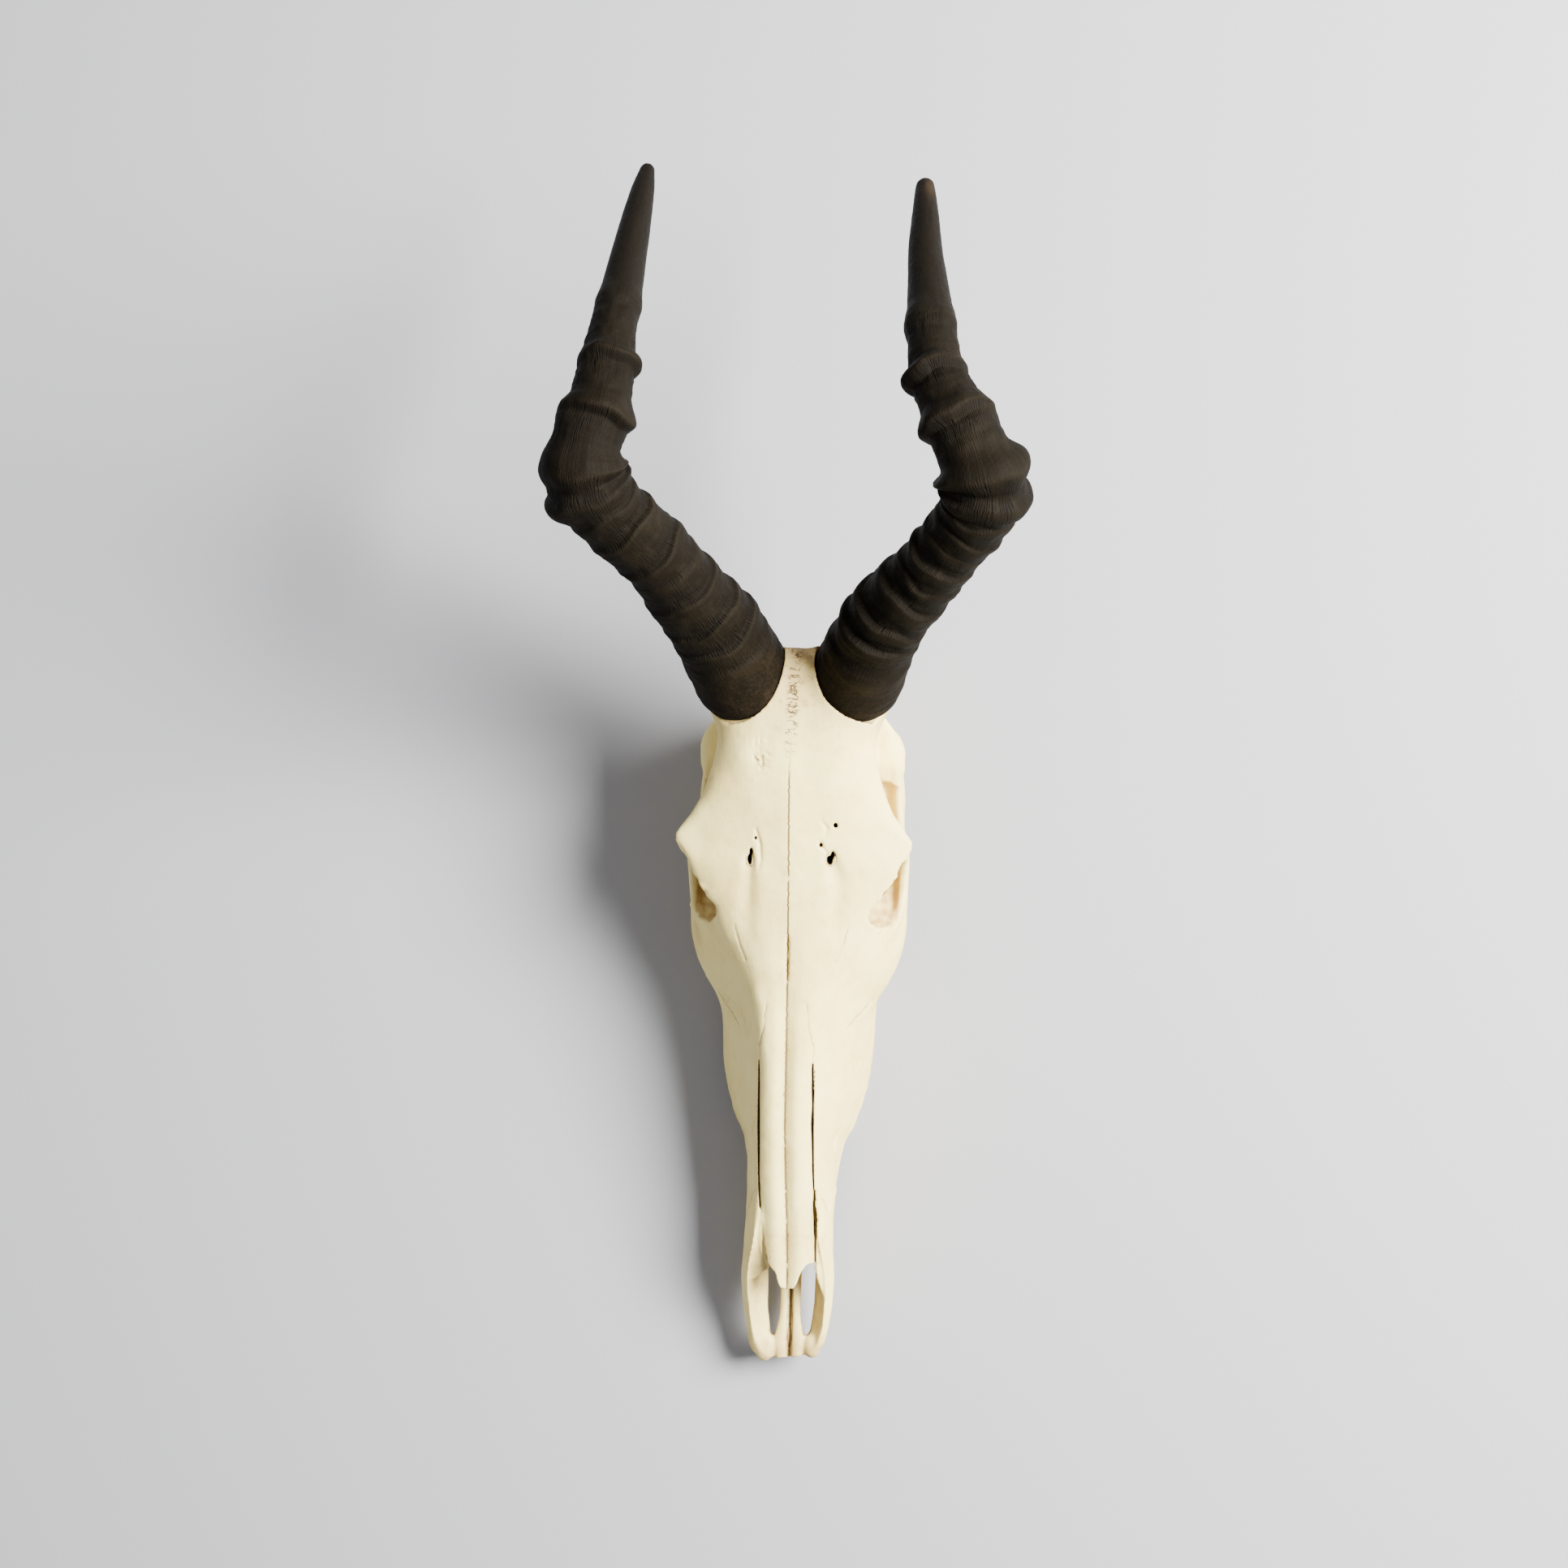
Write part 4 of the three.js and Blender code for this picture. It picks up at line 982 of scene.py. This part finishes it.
def bone_material(settings):
    """Cream bone: broad yellowing, tan staining, tan painted shade on undersides, on the muzzle's inner walls and
    where bone stands close in front, near-black painted shade deep in slits and holes, dark seams, pores and fine
    scratches. The seams are thin bands about the lines where the distances kept in the mesh pass through zero."""
    material, where, shader = start_material("bone")
    broad = where.noise(17.0, 5.0)
    patch = where.noise(75.0, 6.0, 0.65)
    fine = where.noise(420.0, 4.0, 0.7)
    grain = where.stretch(420.0, 55.0, 160.0).noise(1.0, 5.0)
    wiggle = where.stretch(0.0, 1.0, 0.0).noise(330.0, 2.0)
    breaks = where.noise(120.0, 3.0)
    pore = where.node("ShaderNodeTexVoronoi", {"Vector": where, "Scale": 620.0})
    rough = where.noise(34.0, 3.0)
    fleck = where.noise(300.0, 2.0)
    stain, hollow, top, across = (where.kept(name) for name in ("stain", "hollow", "crown", "across"))
    y = where.axis(1) * 1000 - float(ZERO[1] * 1000)
    # The seam down the middle, strong or weak by its place, and the knotted seam between the horns.
    force = ((y - 40) / 400).ramp([
        (0.0, 0.85), (0.45, 0.85), (0.515, 1.0), (0.56, 1.0), (0.585, 0.95), (0.8, 0.9), (0.83, 0.25), (0.88, 0.1),
        (1.0, 0.0)])
    middle = across + (wiggle - 0.5) * 1.8
    line = (1 - abs(middle).ease(0.3, 0.8)) * force * breaks.ease(0.28, 0.42)
    knot = 1 - abs(where.stretch(110.0, 230.0, 0.0).noise(1.0, 3.0) - 0.5).ease(0.015, 0.05)
    knot = knot * (1 - abs(across).ease(1.6, 5.0)) * y.ease(368, 388) * breaks.ease(0.38, 0.52)
    line = line.larger(knot) * top
    gap = where.kept("gap") + (where.noise(260.0, 3.0) - 0.5) * 2.2
    side = (1 - abs(gap).ease(0.15, 0.6)) * where.kept("seam") * breaks.ease(0.3, 0.55)
    seam = line.larger(side * 0.6)
    hair = (1 - abs(grain - 0.5).ease(0.0, 0.012)) * rough.ease(0.5, 0.62)
    holes = (1 - pore.ease(0.05, 0.2)) * rough.ease(0.52, 0.66)
    flecks = fleck.ease(0.62, 0.7) * y.ease(390, 415) * stain.ease(0.1, 0.5)
    # Colours, each laid over the one before.
    shade = (broad - 0.5) * 2.4 + (patch - 0.5) * 1.4 + 0.4
    # The stain mark holds painted shade as well as real staining, and soil lays both.
    soil = (stain * 1.1 + (patch - 0.55) * stain * 1.6).clamp() + patch.ease(0.58, 0.78) * 0.26
    tint = shade.clamp().mix(settings.pale, settings.cream)
    tint = soil.clamp().mix(tint, settings.tan)
    tint = (grain.ease(0.52, 0.72) * 0.4).mix(tint, settings.cream)
    tint = (holes * 0.45).mix(tint, settings.tan)
    tint = (hair * 0.34 + flecks * 0.4).clamp().mix(tint, settings.seam)
    tint = seam.clamp().mix(tint, settings.seam)
    # Painted shade: deep in slits and holes, where bone stands close in front, the colour goes to near-black.
    tint = (hollow * 0.85).mix(tint, settings.depth)
    height = grain * 0.45 + fine * 0.5 + patch * 0.9 - holes * 1.1 - seam * 1.2 - hair * 0.4 - flecks * 0.5
    where.feed(shader, {
        "Base Color": tint, "Roughness": (0.5 + fine * 0.22 + stain * 0.15).clamp(),
        "Normal": height.bump(0.3, 0.0006), "Specular IOR Level": 0.35})
    return material


def horn_material(settings):
    """Dark horn: fibres along its length, worn and dusty ridges and blotches, and dark fine grooves beside each
    ring's rim, partly the horn's own striae and partly painted shade in the crease, with a dull sheen.
    """
    material, where, shader = start_material("horn")
    place = where.node("ShaderNodeUVMap", uv_map="along")
    fibre = place.stretch(130.0, 9.0, 1.0).noise(1.0, 4.0, 0.55, "2D")
    stray = place.stretch(22.0, 26.0, 1.0).noise(1.0, 2.0, 0.5, "2D")
    hoop = place.stretch(7.0, 240.0, 1.0).noise(1.0, 3.0, 0.6, "2D")
    blotch = where.noise(48.0, 6.0, 0.65)
    speck = where.noise(520.0, 3.0, 0.7)
    ridge, flank, smooth, cuff, worn = (
        where.kept(name) for name in ("ridge", "flank", "smooth", "cuff", "worn"))
    fold = place.math("SINE", place.axis(0) * 640 + stray * 18) + (fibre - 0.5) * 2.4
    grooves_and_shade = fold.ease(-0.1, 0.8) * flank * stray.ease(0.3, 0.5) * (0.35 + blotch.ease(0.38, 0.56) * 0.65)
    wear = ridge * (0.1 + speck * 0.5) + blotch.ease(0.45, 0.75) * 0.5 + fibre.ease(0.5, 0.75) * 0.35
    wear = wear + speck.ease(0.55, 0.8) * 0.4
    crumbs = cuff * (speck.ease(0.46, 0.62) * 0.3 + blotch.ease(0.45, 0.65) * 0.3) + worn * blotch.ease(0.3, 0.5)
    tint = (wear * (1 - smooth * 0.5)).clamp().mix(settings.dark, settings.dust)
    # Dark fine grooves on each ring's creased flank: the horn's striae, partly painted shade in the crease.
    tint = (grooves_and_shade * 0.75).mix(tint, settings.groove)
    tint = (smooth * 0.6).mix(tint, settings.tip)
    tint = crumbs.clamp().mix(tint, settings.scar)
    height = fibre * 0.35 + hoop * (0.25 - smooth * 0.25) + speck * 0.8 + blotch * 0.8 - grooves_and_shade * 1.4
    where.feed(shader, {
        "Base Color": tint, "Roughness": (0.6 + speck * 0.2 - smooth * 0.15).clamp(),
        "Normal": height.bump(0.6, 0.0009), "Specular IOR Level": 0.05})
    return material


def tooth_material(settings):
    """Ivory enamel with brown tartar near the bone and in the folds."""
    material, where, shader = start_material("tooth")
    cloud = where.noise(160.0, 5.0)
    lines = where.stretch(900.0, 900.0, 60.0).noise(1.0, 3.0, 0.5)
    soil = where.kept("soil")
    amount = soil * (0.4 + cloud * 0.9) + lines.ease(0.58, 0.72) * 0.25
    where.feed(shader, {
        "Base Color": amount.clamp().mix(settings.enamel, settings.stain),
        "Roughness": (0.28 + soil * 0.3 + cloud * 0.1).clamp(), "Normal": (lines + cloud * 0.6).bump(0.3, 0.0004)})
    return material


def tube_faces(rows, sides):
    """Quads of a closed grid of rows by sides, and the fans to its two poles, which follow the grid's points."""
    r = np.arange(rows - 1)[:, None] * sides
    s = np.arange(sides)[None, :]
    n = (s + 1) % sides
    quads = np.stack([r + s, r + n, r + sides + n, r + sides + s], axis=-1).reshape(-1, 4)
    first, last = rows * sides, rows * sides + 1
    top = (rows - 1) * sides
    fans = np.concatenate([
        np.stack([np.full(sides, first), n[0], s[0]], axis=-1),
        np.stack([np.full(sides, last), top + s[0], top + n[0]], axis=-1),
    ])
    return quads, fans


def horn_rings(rings, l, turn, facing):
    """What the rings add to a horn's radius, the line of each rim, and the creased flank beside it. A ring rises
    slowly on the side of its longer reach, waves a little round the horn and is highest on the inner side."""
    swell, ridge, flank = (np.zeros(np.broadcast_shapes(l.shape, turn.shape)) for _ in range(3))
    for k, (place, inner, outer, low, high) in enumerate(rings):
        wave = 1.2 * np.sin(3 * turn + k * 1.7) + 0.7 * np.sin(5 * turn + k * 2.9)
        off = l - place - wave * np.interp(place, [20, 60, 150, 200], [0.5, 1, 1, 0.6])
        rise = np.clip(1 + off / low, 0, 1)
        fall = np.clip(1 - off / high, 0, 1)
        up = np.sin(np.pi / 2 * rise) ** 1.3
        down = 0.5 - 0.5 * np.cos(np.pi * fall)
        height = outer + (inner - outer) * facing
        swell += height * np.where(off < 0, up, down)
        strong = np.clip(height / 2.2, 0, 1)
        ridge = np.maximum(ridge, strong * np.exp(-((off + 0.6) / 1.1) ** 2))
        if low > high:
            crease = np.clip(off / 1.2, 0, 1) * np.clip((15 - off) / 11, 0, 1)
        else:
            crease = np.clip(-off / 2.5, 0, 1) * np.clip((off + 20) / 10, 0, 1)
        flank = np.maximum(flank, crease * strong)
    return swell, ridge, flank


def horn_surface(name, stations, sides):
    """A horn sheath as radius against length and turn: a smooth taper, rings that flare slowly and end in a
    rim, fine hoops between them and a rounded foot and tip, carried along the bent path."""
    side, _, girth, rings = HORNS[name]
    line, length = horn_line(name)
    even = np.linspace(0, length, len(line))
    at = np.linspace(0, length, stations)

    def on_line(lengths):
        return np.stack([np.interp(lengths, even, line[:, k]) for k in range(3)], axis=1)

    # Axes of each cross section: along the path, towards the other horn, and across both.
    reach = np.maximum(np.minimum(14.0, np.minimum(at, length - at)), 1.0)
    middle = on_line(at)
    ahead = on_line(at + reach) - on_line(at - reach)
    ahead[0] = line[6] - line[0]
    ahead /= np.linalg.norm(ahead, axis=1, keepdims=True)
    inward = np.array([-side, 0, 0]) - ahead * (-side * ahead[:, :1])
    inward /= np.linalg.norm(inward, axis=1, keepdims=True)
    second = np.cross(ahead, inward)
    # Rings and skin.
    turn = np.linspace(0, 2 * np.pi, sides, endpoint=False)[None, :]
    l = at[:, None] - HORN_FOOT
    facing = (0.5 + 0.5 * np.cos(turn - side * 0.7)) ** 1.3
    swell, ridge, flank = horn_rings(rings, l, turn, facing)
    radius = follow(girth, l[:, 0])[:, :1] + 0 * turn
    smooth = np.interp(l, [255, 300], [0, 1]) + 0 * turn
    rows = np.stack([l + 0 * turn, turn + 0 * l, 0 * l + 0 * turn], axis=-1).reshape(-1, 3)
    warp = curl(rows * (0.05, 1.2, 0) + 9, 3).reshape(radius.shape) * 2.0
    hoops = np.sin((l + warp) * 1.35) * 0.5 + np.sin((l + warp) * 0.83 + 2) * 0.5
    skin = np.stack([l + 0 * turn, HORN_SKIN * np.cos(turn) + 0 * l, HORN_SKIN * np.sin(turn) + 0 * l], -1)
    skin = skin.reshape(-1, 3)
    rough = (0.45 * curl(skin / 5, 7) + 0.7 * curl(skin / 13, 4)).reshape(radius.shape)
    radius = radius + swell + (0.14 * hoops + rough) * (1 - 0.8 * smooth)
    # The foot and the tip rounded, and the foot's dip, which fades out along the horn.
    foot = np.clip(1 - at[:, None] / 4.0, 0, 1)
    radius -= 2.2 * (1 - np.sqrt(np.maximum(1 - foot ** 2, 0)))
    past = np.clip((at[:, None] - length + 4) / 4, 0, 1)
    radius *= np.sqrt(np.maximum(1 - 0.9 * past ** 2, 0))
    points = middle[:, None] + radius[..., None] * (
        np.cos(turn)[..., None] * inward[:, None] + np.sin(turn)[..., None] * second[:, None])
    seat, way, front = horn_seat(name)
    dip = foot_dip((points[0] - seat) @ front)
    points -= (dip[None, :] * np.clip(1 - at[:, None] / 34, 0, 1))[..., None] * way
    poles = np.stack([middle[0], middle[-1] + ahead[-1] * 0.4])
    points = np.concatenate([points.reshape(-1, 3), poles])
    # Numbers for the material, with those of the two poles.
    cuff = np.interp(l, [16, 34], [1, 0]) + 0 * turn
    worn = np.exp(-((l - 374) / 8) ** 2 - ((turn - 2.1) / 0.6) ** 2) * (side > 0)
    # The flank mark places the dark fine grooves, partly painted shade in the creases beside the rims.
    marks = {key: np.r_[value.ravel(), start, end] for key, value, start, end in (
        ("ridge", ridge, 0, 0), ("flank", flank * (1 - smooth), 0, 0), ("smooth", smooth, 0, 1), ("cuff", cuff, 1, 0),
        ("worn", worn, 0, 0))}
    return points, tube_faces(stations, sides), marks


def horn_uv(piece, stations, sides):
    """A map of turn against length; the turn runs past its end at the join, so no face spans the map."""
    mesh = piece.data
    row, column = np.divmod(read(mesh.loops, "vertex_index", kind=np.int32), sides)
    turn = column / sides
    size = read(mesh.polygons, "loop_total", kind=np.int32)
    owner = np.repeat(np.arange(len(size)), size)
    widest = np.zeros(len(size))
    np.maximum.at(widest, owner, turn)
    turn = np.where((turn < 0.01) & (widest[owner] > 0.9), turn + 1, turn)
    place = np.stack([turn, np.minimum(row / (stations - 1), 1)], axis=-1)
    layer = mesh.uv_layers.new(name="along")
    layer.data.foreach_set("uv", place.astype(np.float32).ravel())


def cusps(y, lobes):
    """How far the worn edge of a tooth stands back, along its length from -1 to 1: least at its cusps."""
    return 0.8 + 0.8 * np.cos(np.pi * lobes * (y + 1))


def tooth_surface(name, side):
    """A cheek tooth: an outline with one or two lobes and outer ribs, drawn in towards the root, with cusps along
    its worn edge, closed above, and below by a worn face whose enamel stands out as crescents round hollows."""
    start, length, width, row = TEETH[name]
    sides, rise, rings = 128, 26, 26
    turn = np.linspace(0, 2 * np.pi, sides, endpoint=False)
    c, s = np.cos(turn), np.sin(turn)
    square = 1 / (np.abs(c) ** TOOTH_SQUARE + np.abs(s) ** TOOTH_SQUARE) ** (1 / TOOTH_SQUARE)
    x, y = c * square, s * square
    lobes = 1 if name.startswith("premolar") else 2
    outer = np.clip(x, 0, 1)
    inner = np.clip(-x, 0, 1)
    wave = np.pi * lobes * y
    ribs = outer * (0.2 - 0.14 * np.cos(wave) - 0.06 * np.cos(2 * wave))
    x = x + inner * 0.1 * (lobes - 1) * (1 + np.cos(wave))
    z = np.linspace(0, TOOTH_TOP, rise)
    draw = 1 - 0.06 * (z / TOOTH_TOP) ** 2
    round_in = 1 - 0.05 * np.clip(1 - z / 1.2, 0, 1) ** 2
    fade = np.interp(z, [0, 11, 17], [1, 1, 0.3])
    middle = start + length / 2
    wall = np.stack([
        side * (row + (x[None, :] - fade[:, None] * ribs[None, :]) * width / 2 * (draw * round_in)[:, None]),
        middle + y[None, :] * length / 2 * round_in[:, None] + 0 * z[:, None],
        z[:, None] + cusps(y, lobes)[None, :] * (1 - z[:, None] / TOOTH_TOP) ** 4,
    ], axis=-1)
    x = x - ribs
    ring = np.linspace(1, 0, rings + 1)[1:-1]
    px = ring[:, None] * x[None, :] * 0.95
    py = ring[:, None] * y[None, :] * 0.95
    enamel = np.exp(-((ring[:, None] - 0.9) / 0.07) ** 2) + 0 * px
    for k in range(lobes):
        moon = np.hypot(px - 0.05, (py - k + (lobes - 1) / 2) * (0.3 + 0.7 * lobes))
        enamel = np.maximum(enamel, np.exp(-((moon - 0.42) / 0.09) ** 2) * (px < 0.35))
    deep = 1.25
    sink = deep * (1 - np.clip(enamel, 0, 1)) * np.clip((1 - ring[:, None]) / 0.06, 0, 1)
    face = np.stack([
        side * (row + px * width / 2),
        middle + py * length / 2,
        sink + cusps(py, lobes),
    ], axis=-1)
    grid = np.concatenate([face[::-1], wall]).reshape(-1, 3)
    poles = np.array([[side * row, middle, 1.0], [side * row, middle, TOOTH_TOP]])
    tartar = np.interp(z, [0, 4, 12, 18], [0.12, 0.16, 0.4, 0.9])[:, None]
    soil = np.concatenate([
        np.clip(sink[::-1] / deep, 0, 1) * 0.8,
        tartar + inner * 0.25 + np.clip(np.abs(y) - 0.75, 0, 1) * 2.4,
    ]).ravel()
    faces = tube_faces(len(face) + rise, sides)
    if side < 0:
        faces = [f[:, ::-1] for f in faces]
    return np.concatenate([grid, poles]), faces, {"soil": np.r_[soil, 0.8, 0.9]}


def bone_marks(field, p, normal):
    """What the bone's material reads at each point: tan staining with painted shade in it, painted shade deep in
    slits and holes, and distances to the seams.
    """
    x, y, z = p.T
    hollow = shadowed(field, p, normal)
    inner = np.clip(-normal[:, 0] * np.sign(x), 0, 1) * (np.abs(x) > 12) + 0.6 * (np.abs(x) < 8) * (z < 40)
    stain_and_shade = (
        # Tan stain in the orbit, at the muzzle's tip, on the back of the head and along the muzzle's middle strip;
        # painted shade on the muzzle's inner walls.
        np.clip((1.08 - orbit_reach(p)) / 0.1, 0, 1) * np.clip((63 - np.abs(x)) / 2, 0, 1) * 0.85,
        0.7 * np.interp(y, [-2, 10, 22], [1, 0.8, 0]),
        0.85 * np.interp(y, [372, 395, 415, 436], [0, 0.35, 0.7, 1]) * np.interp(z, [78, 112], [0, 1]),
        0.55 * inner * np.interp(y, [4, 14, 70, 84], [0, 1, 1, 0]),
        # Painted shade on undersides, and wherever bone stands close in front.
        0.5 * np.clip(-normal[:, 2] + 0.1, 0, 1) * (z > 20),
        np.clip((hollow - 0.2) * 1.6, 0, 0.9),
    )
    gap, strength = seam_gap(x, y)
    top = crown(p, normal[:, 2])
    # The hollow mark is painted shade deep in slits and holes.
    return {
        "stain": np.clip(np.maximum.reduce(stain_and_shade), 0, 1), "hollow": np.clip((hollow - 0.55) / 0.35, 0, 1),
        "across": x, "gap": gap, "seam": strength * top, "crown": top,
    }


class SKULL_OT_bone(bpy.types.Operator):
    """Builds the bone as one surface from a field of distances"""
    bl_idname = "skull.bone"
    bl_label = "Bone"

    def execute(self, context):
        settings = context.scene.skull_bone
        field = finish_field(bone_field(settings.step))
        points, quads = net_surface(field)
        points = field.snap(relax(points, quads, 2))
        normal = point_normals(points, quads)
        points = points + normal * bone_relief(points, normal)[:, None]
        points[:, 2] = np.maximum(points[:, 2], 0)
        piece = mesh_piece("bone", to_frame(points), [quads], bone_material(settings))
        p, normal = thinned(piece, settings.triangles)
        mark_points(piece.data, bone_marks(field, p, normal))
        piece.data.vertices.foreach_set("co", to_frame(leaned(p)).astype(np.float32).ravel())
        piece.data.update()
        settle(piece, ["skull"])
        return {"FINISHED"}


class SKULL_OT_horns(bpy.types.Operator):
    """Builds both horn sheaths as a ringed profile carried along a bent path"""
    bl_idname = "skull.horns"
    bl_label = "Horns"

    def execute(self, context):
        settings = context.scene.skull_horns
        material = horn_material(settings)
        for name in HORNS:
            points, faces, marks = horn_surface(name, settings.stations, settings.sides)
            piece = mesh_piece("sheath_" + name.split("_")[1], to_frame(points), faces, material)
            mark_points(piece.data, marks)
            horn_uv(piece, settings.stations, settings.sides)
            settle(piece, [name])
        return {"FINISHED"}


class SKULL_OT_teeth(bpy.types.Operator):
    """Builds the twelve cheek teeth"""
    bl_idname = "skull.teeth"
    bl_label = "Cheek teeth"

    def execute(self, context):
        material = tooth_material(context.scene.skull_teeth)
        for side, word in ((-1, "left"), (1, "right")):
            for name in TEETH:
                points, faces, marks = tooth_surface(name, side)
                piece = mesh_piece(f"crown_{name}_{word}", to_frame(points), faces, material)
                mark_points(piece.data, marks)
                settle(piece, [f"{name}_{word}"])
        return {"FINISHED"}


def placed(name, data, axes, place):
    """Adds a lamp or a camera with its three axes and its place."""
    thing = bpy.data.objects.new(name, data)
    thing.matrix_world = Matrix(np.vstack([np.c_[(*axes, place)], [0, 0, 0, 1]]).tolist())
    bpy.context.scene.collection.objects.link(thing)
    return thing


class SKULL_OT_stage(bpy.types.Operator):
    """Lays the floor and sets the light and the camera"""
    bl_idname = "skull.stage"
    bl_label = "Stage"

    def execute(self, context):
        settings = context.scene.skull_stage
        material, where, shader = start_material("floor")
        where.feed(shader, {"Base Color": settings.floor, "Roughness": 0.85})
        corners = np.array([[-1, -1, 0], [1, -1, 0], [1, 1, 0], [-1, 1, 0]]) * FLOOR_HALF
        floor = mesh_piece("floor", corners, [np.array([[0, 1, 2, 3]])], material)
        world = bpy.data.worlds.new("studio")
        context.scene.world = world
        world.use_nodes = True
        sky = world.node_tree.nodes["Background"]
        sky.inputs["Color"].default_value = (*SKY, 1)
        sky.inputs["Strength"].default_value = SKY_STRENGTH
        for name, place, size, power in LAMPS:
            lamp = bpy.data.lights.new(name, "AREA")
            lamp.size = size
            lamp.energy = power
            away = np.array(place) - to_frame(LIT_AT)
            z = away / np.linalg.norm(away)
            x = np.cross((0, 1, 0.001), z)
            x /= np.linalg.norm(x)
            placed(name, lamp, (x, np.cross(z, x), z), place)
        lens = bpy.data.cameras.new("camera")
        lens.sensor_fit = "HORIZONTAL"
        lens.sensor_width = SENSOR_WIDTH
        lens.lens = settings.lens
        lens.clip_end = 50
        yaw, roll = settings.yaw, settings.roll
        back = np.array([math.sin(yaw), 0, math.cos(yaw)])
        level = np.array([math.cos(yaw), 0, -math.sin(yaw)])
        right = math.cos(roll) * level + math.sin(roll) * np.array([0, 1, 0])
        place = to_frame(SEEN_AT) + settings.distance * back
        context.scene.camera = placed("camera", lens, (right, np.cross(back, right), back), place)
        return {"FINISHED"}


class SKULL_PT_panel(bpy.types.Panel):
    """Lists the pieces and their settings"""
    bl_idname = "SKULL_PT_panel"
    bl_label = "Skull"
    bl_space_type = "VIEW_3D"
    bl_region_type = "UI"
    bl_category = "Skull"

    def draw(self, context):
        for key, group in GROUPS.items():
            self.layout.operator("skull." + key)
            for setting in group.__annotations__:
                self.layout.prop(getattr(context.scene, "skull_" + key), setting)


GROUPS = {"bone": BoneSettings, "horns": HornSettings, "teeth": ToothSettings, "stage": StageSettings}
CLASSES = (*GROUPS.values(), SKULL_OT_bone, SKULL_OT_horns, SKULL_OT_teeth, SKULL_OT_stage, SKULL_PT_panel)


def register():
    for kind in CLASSES:
        bpy.utils.register_class(kind)
    for key, group in GROUPS.items():
        setattr(bpy.types.Scene, "skull_" + key, bpy.props.PointerProperty(type=group))


def unregister():
    for key in GROUPS:
        delattr(bpy.types.Scene, "skull_" + key)
    for kind in reversed(CLASSES):
        bpy.utils.unregister_class(kind)


def main():
    """Builds every piece and the stage."""
    register()
    bpy.ops.skull.bone()
    bpy.ops.skull.horns()
    bpy.ops.skull.teeth()
    bpy.ops.skull.stage()


if __name__ == "__main__":
    main()
